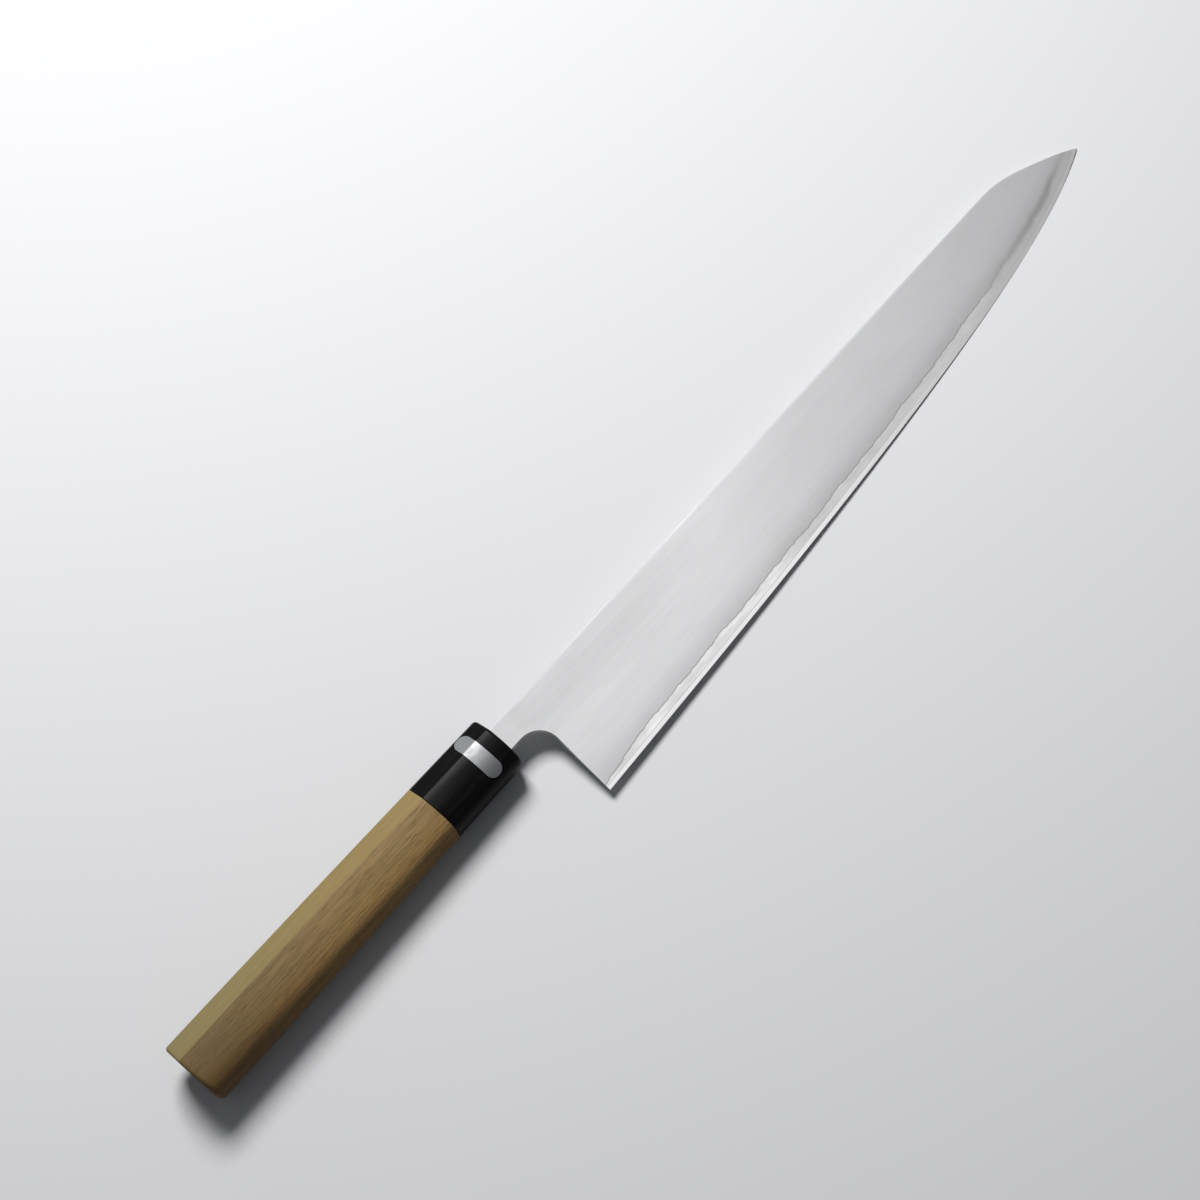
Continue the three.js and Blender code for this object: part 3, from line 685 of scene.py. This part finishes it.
@dataclass
class Blade:
    """The forged blade with its tang: a hard core between two claddings, welded together."""

    length: float = 300 * MM
    heel_height: float = 44.5 * MM
    heel_setback: float = 12.5 * MM
    spine_above_axis: float = 5.25 * MM
    tip_below_spine: float = 13.95 * MM
    edge_rise: float = math.radians(2.38)
    tip_sweep: float = 7.4 * MM
    belly_power: float = 3.1
    sweep_power: float = 11.0
    clip_length: float = 31.4 * MM
    clip_slope: float = math.radians(21)
    clip_ease: float = 8.2 * MM
    clip_power: float = 3.0
    choil_lean: float = math.radians(4.5)
    choil_radius: float = 8.5 * MM
    neck_height: float = 10.2 * MM
    spine_thickness: float = 3.6 * MM
    clip_thickness: float = 1.4 * MM
    core_thickness: float = 0.8 * MM
    core_tip_thickness: float = 0.5 * MM
    core_show: float = 4.8 * MM
    core_tip_show: float = 4.7 * MM
    weld_dip: float = 2.8 * MM
    weld_dip_length: float = 12 * MM
    weld_waves: tuple[float, ...] = (0.18 * MM, 0.12 * MM, 0.11 * MM, 0.09 * MM, 0.07 * MM, 0.05 * MM)
    weld_wavelengths: tuple[float, ...] = (37 * MM, 22 * MM, 13.3 * MM, 7.7 * MM, 4.3 * MM, 2.6 * MM)
    weld_phases: tuple[float, ...] = (math.pi, math.pi / 2, 0.7, 4.1, 2.9, 5.2)
    edge_thickness: float = 0.04 * MM
    bevel_height: float = 1.5 * MM
    bevel_thickness: float = 0.34 * MM
    shoulder_share: float = 0.25
    shoulder_swell: float = 0.1 * MM
    spine_ease: float = 0.06 * MM
    most_ease: float = 1 / 3
    tang_length: float = 104 * MM
    tang_end_height: float = 6.6 * MM
    tang_end_thickness: float = 2.6 * MM
    columns: int = 640
    tip_columns: int = 24
    bevel_rows: int = 5
    strip_rows: int = 12
    lower_rows: int = 26
    lower_power: float = 1.7
    face_rows: int = 14
    ease_rows: int = 8
    choil_steps: int = 28
    weld_search: int = 20001
    crease: float = 28.0

    def __post_init__(self) -> None:
        """Works out the corners that the outline hangs on."""
        self.heel = np.array([self.heel_setback, self.spine_above_axis - self.heel_height])
        self.tip_x = self.heel_setback + self.length
        self.spine_start_x = self.heel_setback + self.heel_height * math.tan(self.choil_lean)
        self.neck_bottom = self.spine_above_axis - self.neck_height
        self.round_y = self.neck_bottom - self.choil_radius
        rise = (self.round_y - self.heel[1]) * math.sin(self.choil_lean)
        self.round_x = self.heel_setback + (rise - self.choil_radius) / math.cos(self.choil_lean)
        self.clip_t = (self.tip_x - self.clip_length - self.spine_start_x) / (self.tip_x - self.spine_start_x)
        dense = np.linspace(0.0, 1.0, self.weld_search)
        self.weld_end = dense[self.height(dense) > self.weld(dense)].max()
        choil_top = self.round_y - self.choil_radius * math.sin(self.choil_lean) - self.heel[1]
        start = np.zeros(1)
        weld, tall = self.weld(start)[0], self.height(start)[0]
        self.choil_share = float((choil_top / math.cos(self.choil_lean) - weld) / (tall - weld))

    def edge(self, t: Array) -> Array:
        """Edge points at shares t of the length: a steady slope, a long belly and a sweep near the tip."""
        steady = self.length * math.tan(self.edge_rise)
        belly = self.heel_height - self.tip_below_spine - steady - self.tip_sweep
        lift = steady * t + belly * t**self.belly_power + self.tip_sweep * t**self.sweep_power
        return self.heel + np.stack([self.length * t, lift], axis=-1)

    def spine(self, t: Array) -> Array:
        """Spine points at shares t: straight, then over a soft corner into the clip, which bends on."""
        x = lerp(self.spine_start_x, self.tip_x, t)
        slope = math.tan(self.clip_slope)
        past = x - (self.tip_x - self.clip_length)
        eased = np.clip(past + self.clip_ease, 0.0, 2 * self.clip_ease)
        beyond = np.maximum(past - self.clip_ease, 0.0)
        corner_drop = slope * eased**2 / (4 * self.clip_ease)
        last_bend = self.tip_below_spine - slope * self.clip_length
        bend_drop = last_bend * (beyond / (self.clip_length - self.clip_ease)) ** self.clip_power
        return np.stack([x, self.spine_above_axis - corner_drop - slope * beyond - bend_drop], axis=-1)

    def height(self, t: Array) -> Array:
        """Height of the blade's columns, from edge to spine."""
        return np.linalg.norm(self.spine(t) - self.edge(t), axis=-1)

    def weld(self, t: Array) -> Array:
        """Height of the weld line above the edge: it dips at the heel, stays level and wanders in waves."""
        along = self.length * t
        turns = 2 * np.pi * along[..., None] / np.array(self.weld_wavelengths)
        waves = np.array(self.weld_waves) * np.sin(turns + np.array(self.weld_phases))
        dip = self.weld_dip * np.exp(-along / self.weld_dip_length)
        return lerp(self.core_show, self.core_tip_show, t) + waves.sum(axis=-1) - dip

    def core_half(self, t: Array) -> Array:
        """Half thickness of the core, less at the heel, where the dipping weld lies lower on the slope."""
        slope = (self.core_thickness - self.bevel_thickness) / 2 / (self.core_show - self.bevel_height)
        thinned = slope * self.weld_dip * np.exp(-self.length * t / self.weld_dip_length)
        return lerp(self.core_thickness, self.core_tip_thickness, t) / 2 - thinned

    def spine_half(self, t: Array) -> Array:
        """Half thickness at the spine: an even taper to the clip, then down to the core at the weld's end."""
        to_clip = lerp(self.spine_thickness, self.clip_thickness, t / self.clip_t) / 2
        bare = self.core_half(np.array(self.weld_end))
        past_clip = lerp(self.clip_thickness / 2, bare, (t - self.clip_t) / (self.weld_end - self.clip_t))
        return np.where(t < self.clip_t, to_clip, past_clip)

    def bare_half(self, height: Array, t: Array) -> Array:
        """Half thickness of the bare core: the sharpened bevel, then the ground strip up to the weld line."""
        bevel = lerp(self.edge_thickness, self.bevel_thickness, height / self.bevel_height) / 2
        share = (height - self.bevel_height) / (self.weld(t) - self.bevel_height)
        ground = lerp(self.bevel_thickness / 2, self.core_half(t), share)
        return np.where(height < self.bevel_height, bevel, ground)

    def clad_half(self, share: Array, t: Array) -> Array:
        """Half thickness of the clad face at shares of the way from weld line to spine.

        It is an even taper plus a swell that peaks at the shoulder, s / s0 * exp(1 - s / s0), less the even
        taper that brings the swell back to nothing at the spine.

        Args:
            share: Shares from 0 on the weld line to 1 on the spine.
            t: Shares of the blade's length, in an array of the same shape.

        Returns:
            The half thicknesses.
        """
        core, spine = self.core_half(t), self.spine_half(t)
        peaks = share / self.shoulder_share
        end = 1 / self.shoulder_share
        swell = peaks * np.exp(1 - peaks) - share * end * math.exp(1 - end)
        thinner = (spine - core) / (self.spine_thickness - self.core_thickness) * 2
        return lerp(core, spine, share) + self.shoulder_swell * swell * thinner

    def points(self, t: Array, heights: Array, z: Array) -> Array:
        """Points of the columns at t.

        Args:
            t: Shares of the blade's length.
            heights: Heights above the edge, one row for each t.
            z: Distances from the middle plane, in an array like heights.

        Returns:
            An array of columns, heights and values: three coordinates and the traits.
        """
        tall = np.maximum(self.height(t), WELD_DISTANCE)
        along = (heights / tall[:, None])[..., None]
        flat = lerp(self.edge(t)[:, None, :], self.spine(t)[:, None, :], along)
        over_weld = heights - self.weld(t)[:, None]
        return np.concatenate([flat, np.stack([z, heights / MM, over_weld / MM], axis=-1)], axis=-1)

    def stations(self) -> tuple[Array, Array, Array, Array]:
        """Outline of neck and tang, from the choil line back to the end of the tang.

        The low points follow the round of the choil, tangent to the choil line and to the neck, and the high
        points the spine. Two more stations end the neck at the ferrule and the tang in the handle.

        Returns:
            Low points, high points, shares of the way round the choil, and half thicknesses of the tang.
        """
        share = np.linspace(0.0, 1.0, self.choil_steps)
        angle = lerp(-self.choil_lean, np.pi / 2, share)
        centre = np.array([self.round_x, self.round_y])
        arc = centre + self.choil_radius * np.stack([np.cos(angle), np.sin(angle)], axis=-1)
        back = lerp(self.spine_start_x, self.round_x, share)
        top = np.stack([back, np.full_like(share, self.spine_above_axis)], axis=-1)
        x = np.array([0.0, -self.tang_length])
        low, high, half = self.tang(x)
        lows = np.concatenate([arc, np.stack([x, low], axis=-1)])
        highs = np.concatenate([top, np.stack([x, high], axis=-1)])
        halves = np.concatenate([np.full_like(share, self.spine_thickness / 2), half])
        return lows, highs, np.concatenate([share, [1.0, 1.0]]), halves

    def tang(self, x: Array) -> tuple[Array, Array, Array]:
        """Lower limit, upper limit and half thickness of the tang at x, which tapers evenly to its end."""
        middle = self.spine_above_axis - self.neck_height / 2
        back = -x / self.tang_length
        half = lerp(self.neck_height, self.tang_end_height, back) / 2
        return middle - half, middle + half, lerp(self.spine_thickness, self.tang_end_thickness, back) / 2

    def neck_points(self, along: Array, z: Array | float, traits: Array) -> Array:
        """Points of one face of neck and tang, from the choil back and from low to high.

        Args:
            along: Shares of the way from the low to the high points.
            z: Distances from the middle plane, for all points or one row for each station.
            traits: Values of the traits at those shares, the same for all stations.

        Returns:
            An array of stations, shares and values: three coordinates and the traits.
        """
        lows, highs, _, _ = self.stations()
        flat = lerp(lows[:, None, :], highs[:, None, :], along[None, :, None])
        distance = np.broadcast_to(z, flat.shape[:2])[..., None]
        kept = np.broadcast_to(traits, (*flat.shape[:2], len(Trait)))
        return np.concatenate([flat, distance, kept], axis=-1)

    def core_skin(self) -> Skin:
        """Skin of the core: bevel, bare strip and hidden faces, neck and tang.

        Returns:
            A closed skin on the knife's axes, with the traits.
        """
        welded = np.linspace(0.0, self.weld_end, self.columns)
        t = np.concatenate([welded, np.linspace(self.weld_end, 1.0, self.tip_columns + 1)[1:]])
        tall, weld = self.height(t)[:, None], self.weld(t)[:, None]
        top = np.minimum(weld, tall)
        bevel = np.minimum(self.bevel_height, top)
        sharpened = bevel * np.linspace(0.0, 1.0, self.bevel_rows)
        bare = lerp(bevel, top, np.linspace(0.0, 1.0, self.strip_rows)[1:])
        hidden = lerp(top, np.maximum(tall, top), np.array([self.choil_share, 1.0]))
        heights = np.concatenate([sharpened, bare, hidden], axis=1)
        shape = np.broadcast_to(t[:, None], heights.shape)
        half = np.where(heights > weld, self.core_half(shape), self.bare_half(heights, shape))
        right, left = self.points(t, heights, half), self.points(t, heights, -half)
        skin = Skin()
        skin.add_slab(right, left)
        skin.add(strip(right[0, :-1], left[0, :-1]))
        ends = np.array([0.0, 1.0])
        first_half = float(self.core_half(np.array(0.0)))
        near = self.neck_points(ends, first_half, right[0, -2:, 3:])
        far = self.neck_points(ends, -first_half, right[0, -2:, 3:])
        skin.add_slab(near, far, turned=True)
        skin.add(strip(near[-1], far[-1]))
        return skin

    def upper_rows(self, tall: Array, ease: Array) -> tuple[Array, Array]:
        """Rows of a clad face above the choil, with the spine's corner rounded by a quarter circle.

        Args:
            tall: Heights of the columns above the choil.
            ease: Radii of the rounding.

        Returns:
            Heights above the choil, and how far the face is drawn in there.
        """
        angle = np.linspace(0.0, np.pi / 2, self.ease_rows)[1:]
        plain = (tall - ease)[:, None] * np.linspace(0.0, 1.0, self.face_rows)
        rounded = tall[:, None] - ease[:, None] * (1 - np.sin(angle))
        inset = ease[:, None] * (1 - np.cos(angle))
        return np.concatenate([plain, rounded], axis=1), np.concatenate([np.zeros_like(plain), inset], axis=1)

    def cladding_skin(self, side: Side) -> Skin:
        """Skin of one cladding, from the weld line to the spine and back to the end of the tang.

        Near the tip the lowest rows of its two sides lie within the weld distance of each other. Once they
        are welded, thin slivers stay open along the weld line there.

        Args:
            side: The face that it is on.

        Returns:
            The skin on the knife's axes, with the traits.
        """
        t = np.linspace(0.0, self.weld_end, self.columns)
        weld, core, spine = self.weld(t), self.core_half(t), self.spine_half(t)
        tall = np.maximum(self.height(t) - weld, 0.0)
        lower = (tall * self.choil_share)[:, None]
        upper = tall * (1 - self.choil_share)
        ease = np.minimum(np.minimum(self.spine_ease, (spine - core) / 2), upper * self.most_ease)
        above, inset = self.upper_rows(upper, ease)
        below = lower * np.linspace(0.0, 1.0, self.lower_rows)[:-1] ** self.lower_power
        over_weld = np.concatenate([below, lower + above], axis=1)
        share = over_weld / np.maximum(tall, WELD_DISTANCE)[:, None]
        half = self.clad_half(share, np.broadcast_to(t[:, None], share.shape))
        seam = below.shape[1]
        half[:, seam:] -= inset
        heights = weld[:, None] + over_weld
        sign, turned = side.value, side is Side.LEFT
        outer = self.points(t, heights, sign * half)
        inner = self.points(t, heights, sign * np.broadcast_to(core[:, None], half.shape))
        skin = Skin()
        skin.add(outer, turned)
        skin.add(inner, not turned)
        skin.add(strip(outer[:, -1], inner[:, -1]), turned)
        skin.add(strip(outer[0, : seam + 1], inner[0, : seam + 1]), turned)
        _, _, round_share, halves = self.stations()
        face = lerp(half[0, seam:] + inset[0], halves[:, None], round_share[:, None]) - inset[0]
        along = above[0] / above[0, -1]
        near = self.neck_points(along, sign * face, outer[0, seam:, 3:])
        far = self.neck_points(along, sign * core[0], outer[0, seam:, 3:])
        skin.add_slab(near, far, not turned)
        skin.add(strip(near[-1], far[-1]), turned)
        return skin

    def build(self, lie: Lie) -> None:
        """Builds and dresses the three layers."""
        core = self.core_skin().mesh("blade_core", lie, self.crease)
        add_piece(core, CORE.material(lie), "core_steel")
        cladding = CLADDING.material(lie)
        for side in Side:
            name = side.name.lower()
            mesh = self.cladding_skin(side).mesh(f"blade_cladding_{name}", lie, self.crease)
            add_piece(mesh, cladding, f"cladding_{name}")


@dataclass
class Handle:
    """The D-shaped handle: an oval with one planed flat and a ridge, a wooden body and a horn ferrule."""

    blade: Blade
    length: float = 148.4 * MM
    ferrule_length: float = 32.4 * MM
    front_width: float = 22.4 * MM
    front_thickness: float = 17.8 * MM
    butt_width: float = 25 * MM
    butt_thickness: float = 20.8 * MM
    swell_power: float = 1.5
    oval_power: float = 2.4
    ridge_offset: float = 4.4 * MM
    flat_slope: float = math.radians(33)
    ridge_crispness: float = 170.0
    slot_crispness: float = 24.0
    ferrule_round: float = 1.2 * MM
    butt_round: float = 1.1 * MM
    butt_edge_round: float = 2.6 * MM
    butt_round_power: float = 3.0
    butt_crown: float = 0.1 * MM
    butt_lean: float = math.radians(1.5)
    facet_depth: float = 0.06 * MM
    joint_ease: float = 0.12 * MM
    tenon_diameter: float = 14.2 * MM
    ferrule_wall: float = 8 * MM
    film: float = 0.2 * MM
    bedding: float = 0.9 * MM
    seal: float = 0.7 * MM
    sides: int = 420
    rim_rings: int = 10
    crown_rings: int = 14
    ridge_angle: float = math.radians(66)
    ridge_draw: float = 0.8
    least_facing: float = 0.05
    ferrule_rings: int = 16
    body_rings: int = 48
    crease: float = 35.0

    def angles(self) -> Array:
        """Angles round the handle's middle line, from the spine side over the right face, close at the ridge.

        An even turn u is drawn towards the ridge by a share of the sine of its distance from there.

        Returns:
            The angles, with the first one repeated a full turn later.
        """
        even = np.linspace(-np.pi, np.pi, self.sides + 1)
        return self.ridge_angle + even - self.ridge_draw * np.sin(even)

    def halves(self, x: Array) -> tuple[Array, Array]:
        """Half width and half thickness at x: the handle swells from the ferrule's front to the butt.

        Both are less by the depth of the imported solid's facets, so the round section stays inside its box.

        Args:
            x: Places along the handle.

        Returns:
            The half widths and the half thicknesses.
        """
        narrowing = (1 + x / self.length) ** self.swell_power
        width = lerp(self.butt_width, self.front_width, narrowing) / 2
        thick = lerp(self.butt_thickness, self.front_thickness, narrowing) / 2
        return width - self.facet_depth, thick - self.facet_depth

    def radius(self, x: Array, angle: Array, inset: Array | float = 0.0) -> Array:
        """Distance of the surface from the middle line.

        The oval is |y / a|^p + |z / b|^p = 1, and the planed flat is a line at its slope through the ridge.
        The two are joined by a soft minimum, (r1^-k + r2^-k)^(-1/k), which eases the ridge.

        Args:
            x: Places along the handle.
            angle: Angles from the spine side over the right face, in an array that goes with x.
            inset: How far a rounded rim is drawn in.

        Returns:
            The distances.
        """
        width, thick = self.halves(x)
        c, s = np.cos(angle), np.sin(angle)
        power = self.oval_power
        oval = (np.abs(c / width) ** power + np.abs(s / thick) ** power) ** (-1 / power)
        ridge = thick * (1 - (self.ridge_offset / width) ** power) ** (1 / power)
        lean, rise = math.sin(self.flat_slope), math.cos(self.flat_slope)
        reach = self.ridge_offset * lean + ridge * rise
        facing = np.maximum(c * lean + s * rise, self.least_facing)
        ratio = oval * facing / reach
        eased = oval * (1 + ratio**self.ridge_crispness) ** (-1 / self.ridge_crispness)
        return eased * (1 - inset / width)

    def slot_radius(self, x: float, grow: float) -> Array:
        """Distance from the middle line to the wall of a slot that stands out from the tang by grow at x."""
        low, high, half = self.blade.tang(np.array(x))
        c, s = np.cos(self.angles()), np.sin(self.angles())
        across = np.where(c > 0, c / (high + grow), c / (low - grow))
        crisp = self.slot_crispness
        return (across**crisp + np.abs(s / (half + grow)) ** crisp) ** (-1 / crisp)

    def round_bar(self, diameter: float) -> Array:
        """Distance from the middle line to the wall of a round bar or bore."""
        return np.full(self.sides + 1, diameter / 2)

    def outside(self, x: Array, inset: Array | float = 0.0) -> Array:
        """Distances to the outer surface, one row of angles for each x."""
        return self.radius(x[:, None], self.angles()[None, :], np.broadcast_to(inset, x.shape)[:, None])

    def front_rim(self) -> tuple[Array, Array]:
        """Rings of the ferrule's front rim, a quarter circle from its side to its flat face."""
        angle = np.linspace(0.0, np.pi / 2, self.rim_rings)
        x = self.ferrule_round * (np.sin(angle) - 1)
        return x, self.outside(x, self.ferrule_round * (1 - np.cos(angle)))

    def butt_end(self) -> tuple[Array, Array]:
        """Rings of the butt: a rounded rim and a low dome on a face that leans, longest at the ridge.

        The dome is a parabola from the rim to the crown, and the quarter circle of the rim is added to it.
        The rim's radius grows towards the edge side with a power of (1 - cos angle) / 2.

        Returns:
            Places of the rings' points and their distances from the middle line.
        """
        half = float(self.halves(np.array(-self.length))[0])
        to_edge = ((1 - np.cos(self.angles())) / 2) ** self.butt_round_power
        rounds = lerp(self.butt_round, self.butt_edge_round, to_edge)
        turn = np.linspace(0.0, np.pi / 2, self.rim_rings)[:, None]
        inward = np.linspace(0.0, 1.0, self.crown_rings)[1:, None]
        inset = np.concatenate([rounds * (1 - np.cos(turn)), lerp(rounds, half, inward)])
        rounding = np.zeros_like(inset)
        rounding[: self.rim_rings] = rounds * (1 - np.sin(turn))
        square = self.butt_crown * (1 - inset / half) ** 2 + rounding - self.length + self.facet_depth
        distance = self.radius(square, self.angles(), inset)
        return square - math.tan(self.butt_lean) * distance * np.sin(self.angles()), distance

    def grid(self, rings: list[tuple[Array | float, Array]]) -> Array:
        """Points of rings that follow each other.

        Args:
            rings: Places along the handle, for each ring or each point, with distances from the middle line.

        Returns:
            An array of rings, angles and three coordinates.
        """
        angle = self.angles()
        blocks = []
        for place, distances in rings:
            radius = np.atleast_2d(distances)
            column = place if np.ndim(place) == 2 else np.reshape(place, (-1, 1))
            along = np.broadcast_to(column, radius.shape)
            blocks.append(np.stack([along, radius * np.cos(angle), radius * np.sin(angle)], axis=-1))
        return np.concatenate(blocks)

    def ferrule_skin(self) -> Skin:
        """Skin of the ferrule: outside, rounded front rim, mouth, bore and rear face, as one closed tube."""
        back, wall = -self.ferrule_length, -self.ferrule_wall
        side = np.linspace(back + self.joint_ease, -self.ferrule_round, self.ferrule_rings)
        mouth_grow = self.seal + 2 * self.film
        bore = self.round_bar(self.tenon_diameter + 2 * self.film)
        rear = (back, self.outside(np.array([back]), self.joint_ease))
        rings = [
            rear,
            (side, self.outside(side)),
            self.front_rim(),
            (0.0, self.slot_radius(0.0, mouth_grow)),
            (wall, self.slot_radius(wall, mouth_grow)),
            (wall, bore),
            (back, bore),
            rear,
        ]
        skin = Skin()
        skin.add(self.grid(rings), turned=True)
        return skin

    def body_skin(self) -> Skin:
        """Skin of the wooden body: slot, tenon, shoulder, outside and rounded butt, from inside out."""
        shoulder = -self.ferrule_length - self.film
        tenon_front = -self.ferrule_wall - self.film
        slot_end = -self.blade.tang_length - 2 * self.film - self.bedding
        slot_grow = self.bedding + 2 * self.film
        tenon = self.round_bar(self.tenon_diameter)
        butt = self.butt_end()
        side = np.linspace(shoulder - self.joint_ease, butt[0][0].max(), self.body_rings)[:-1]
        rings = [
            (slot_end, np.zeros(self.sides + 1)),
            (slot_end, self.slot_radius(slot_end, slot_grow)),
            (tenon_front, self.slot_radius(tenon_front, slot_grow)),
            (tenon_front, tenon),
            (shoulder, tenon),
            (shoulder, self.outside(np.array([shoulder]), self.joint_ease)),
            (side, self.outside(side)),
            butt,
        ]
        skin = Skin()
        skin.add(self.grid(rings))
        return skin

    def build(self, lie: Lie) -> None:
        """Builds and dresses the wood and the horn, and dresses what lies inside them."""
        body = self.body_skin().mesh("handle_wood", lie, self.crease)
        add_piece(body, WOOD.material(lie), "handle_body")
        ferrule = self.ferrule_skin().mesh("ferrule_horn", lie, self.crease)
        add_piece(ferrule, HORN.material(lie), "horn_ferrule")
        dress_node("tang_seal", SEAL.material(lie))
        dress_node("tang_bedding", BEDDING.material(lie))


@dataclass
class Label:
    """The bare foil label, a strip with round ends that is bent over the ferrule's ridge."""

    handle: Handle
    length: float = 20.6 * MM
    width: float = 6.3 * MM
    setback: float = 9.3 * MM
    over_flat: float = 6.7 * MM
    underside: float = 0.04 * MM
    thickness: float = 0.14 * MM
    steps: int = 160
    rows: int = 28
    ridge_search: int = 6001
    crease: float = 40.0

    def angle_at(self, distance: Array) -> Array:
        """Angles of points on the ferrule, by their distance round it from the ridge to the planed flat."""
        handle = self.handle
        x = np.array(-self.setback)
        angle = np.linspace(0.0, np.pi, self.ridge_search)
        radius = handle.radius(x, angle)
        points = np.stack([radius * np.cos(angle), radius * np.sin(angle)], axis=-1)
        walked = np.concatenate([[0.0], np.cumsum(np.linalg.norm(np.diff(points, axis=0), axis=1))])
        ridge = walked[np.argmin(np.abs(points[:, 0] - handle.ridge_offset))]
        return np.interp(distance, (ridge - walked)[::-1], angle[::-1])

    def skin(self) -> Skin:
        """Skin of the strip: upper side, underside and the rim between them.

        The half width follows a half circle near each end, sqrt(r^2 - d^2), and is even between.

        Returns:
            A closed skin on the knife's axes.
        """
        turn = np.linspace(-np.pi / 2, np.pi / 2, self.steps)
        middle = self.over_flat - self.length / 2
        distance = middle + self.length / 2 * np.sin(turn)
        end = self.width / 2
        into_end = np.maximum(np.abs(distance - middle) - self.length / 2 + end, 0.0)
        wide = np.sqrt(np.maximum(end**2 - into_end**2, 0.0))
        x = -self.setback + wide[:, None] * np.linspace(-1.0, 1.0, self.rows)
        angle = np.broadcast_to(self.angle_at(distance)[:, None], x.shape)

        def surface(lift: float) -> Array:
            """Points that stand out from the ferrule by a lift."""
            radius = self.handle.radius(x, angle) + lift
            return np.stack([x, radius * np.cos(angle), radius * np.sin(angle)], axis=-1)

        under, over = surface(self.underside), surface(self.underside + self.thickness)
        skin = Skin()
        skin.add_slab(over, under, turned=True)
        return skin

    def build(self, lie: Lie) -> None:
        """Builds and dresses the label."""
        mesh = self.skin().mesh("label_foil", lie, self.crease)
        add_piece(mesh, FOIL.material(lie), "foil_label")


@dataclass(frozen=True)
class Lamp:
    """A soft square lamp that looks at a point."""

    name: str
    place: Point
    target: Point
    size: float
    radiance: float

    def build(self) -> None:
        """Adds the lamp, with the power that its radiance takes: power = pi * area * radiance."""
        light = bpy.data.lights.new(self.name, "AREA")
        light.shape = "SQUARE"
        light.size = self.size
        light.energy = math.pi * self.size**2 * self.radiance
        lamp = bpy.data.objects.new(self.name, light)
        lamp.location = self.place
        aim = Vector(self.target) - lamp.location
        lamp.rotation_euler = aim.to_track_quat("-Z", "Y").to_euler()
        lamp.visible_camera = False
        bpy.context.scene.collection.objects.link(lamp)


@dataclass
class Studio:
    """A plain pale floor, a soft lamp and a camera over the right face of the blade."""

    floor_size: float = 6.0
    floor_ticks: int = 9
    floor_crease: float = 30.0
    floor_bounce: Colour = (0.12, 0.12, 0.12)
    world_colour: Colour = (0.9, 0.93, 1.0)
    world_strength: float = 0.12
    key: Lamp = Lamp("key", (0.25, 0.6, 0.97), (0.0, 0.0, 0.0), 0.46, 22.0)
    eye: Point = (-157.5 * MM, -182.3 * MM, 797.3 * MM)
    heading: float = math.radians(49.03)
    tilt: float = math.radians(20)
    frame_width: float = 1200.0
    focal_pixels: float = 2450.0
    sensor: float = 36.0

    def build_floor(self) -> None:
        """Adds the floor: pale to the eye and in reflections, with less light bounced back on the knife."""
        half = self.floor_size / 2
        ticks = np.linspace(-half, half, self.floor_ticks)
        x, y = np.meshgrid(ticks, ticks, indexing="ij")
        skin = Skin()
        skin.add(np.stack([x, y, np.zeros_like(x)], axis=-1))
        mesh = skin.mesh("floor", Lie(0.0, 0.0, (0.0, 0.0, 0.0)), self.floor_crease)
        floor = bpy.data.objects.new("floor", mesh)
        bpy.context.scene.collection.objects.link(floor)
        material, graph, shader = FLOOR.shader()
        path = graph.node("ShaderNodeLightPath").outputs
        passed_on = graph.math("MAXIMUM", path["Is Glossy Ray"], path["Is Transmission Ray"])
        seen = graph.math("MAXIMUM", path["Is Camera Ray"], passed_on)
        graph.feed(shader.inputs["Base Color"], graph.mix(seen, self.floor_bounce, FLOOR.colour))
        mesh.materials.append(material)

    def build_light(self) -> None:
        """Adds the lamp and an even, dim sky."""
        self.key.build()
        world = bpy.data.worlds.new("studio")
        world.use_nodes = True
        sky = world.node_tree.nodes["Background"]
        sky.inputs["Color"].default_value = (*self.world_colour, 1.0)
        sky.inputs["Strength"].default_value = self.world_strength
        bpy.context.scene.world = world

    def build_camera(self, lie: Lie) -> None:
        """Adds the camera, which is tilted from the blade's face and turned from its length.

        Args:
            lie: How the knife lies. The camera's place and turn are given on the knife's axes.
        """
        right = np.array([math.cos(self.heading), -math.sin(self.heading), 0.0])
        level = np.array([math.sin(self.heading), math.cos(self.heading), 0.0])
        raised = np.array([0.0, 0.0, 1.0])
        up = level * math.cos(self.tilt) + raised * math.sin(self.tilt)
        back = raised * math.cos(self.tilt) - level * math.sin(self.tilt)
        turned = lie.turn() @ np.stack([right, up, back], axis=1)
        matrix = np.eye(4)
        matrix[:3, :3] = turned
        matrix[:3, 3] = lie.place(np.array(self.eye))
        data = bpy.data.cameras.new("photo_view")
        data.sensor_width = self.sensor
        data.lens = self.sensor * self.focal_pixels / self.frame_width
        camera = bpy.data.objects.new("photo_view", data)
        camera.matrix_world = Matrix(matrix.tolist())
        bpy.context.scene.collection.objects.link(camera)
        bpy.context.scene.camera = camera

    def build(self, lie: Lie) -> None:
        """Builds floor, light and camera, and keeps colours plain."""
        self.build_camera(lie)
        self.build_floor()
        self.build_light()
        bpy.context.scene.view_settings.view_transform = "Standard"


def main() -> None:
    """Builds the studio and the knife's pieces in order."""
    logging.basicConfig(level=logging.INFO, format="%(name)s %(message)s")
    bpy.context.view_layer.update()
    blade = Blade()
    lie = Lie()
    Studio().build(lie)
    handle = Handle(blade)
    blade.build(lie)
    handle.build(lie)
    Label(handle).build(lie)


if __name__ == "__main__":
    main()
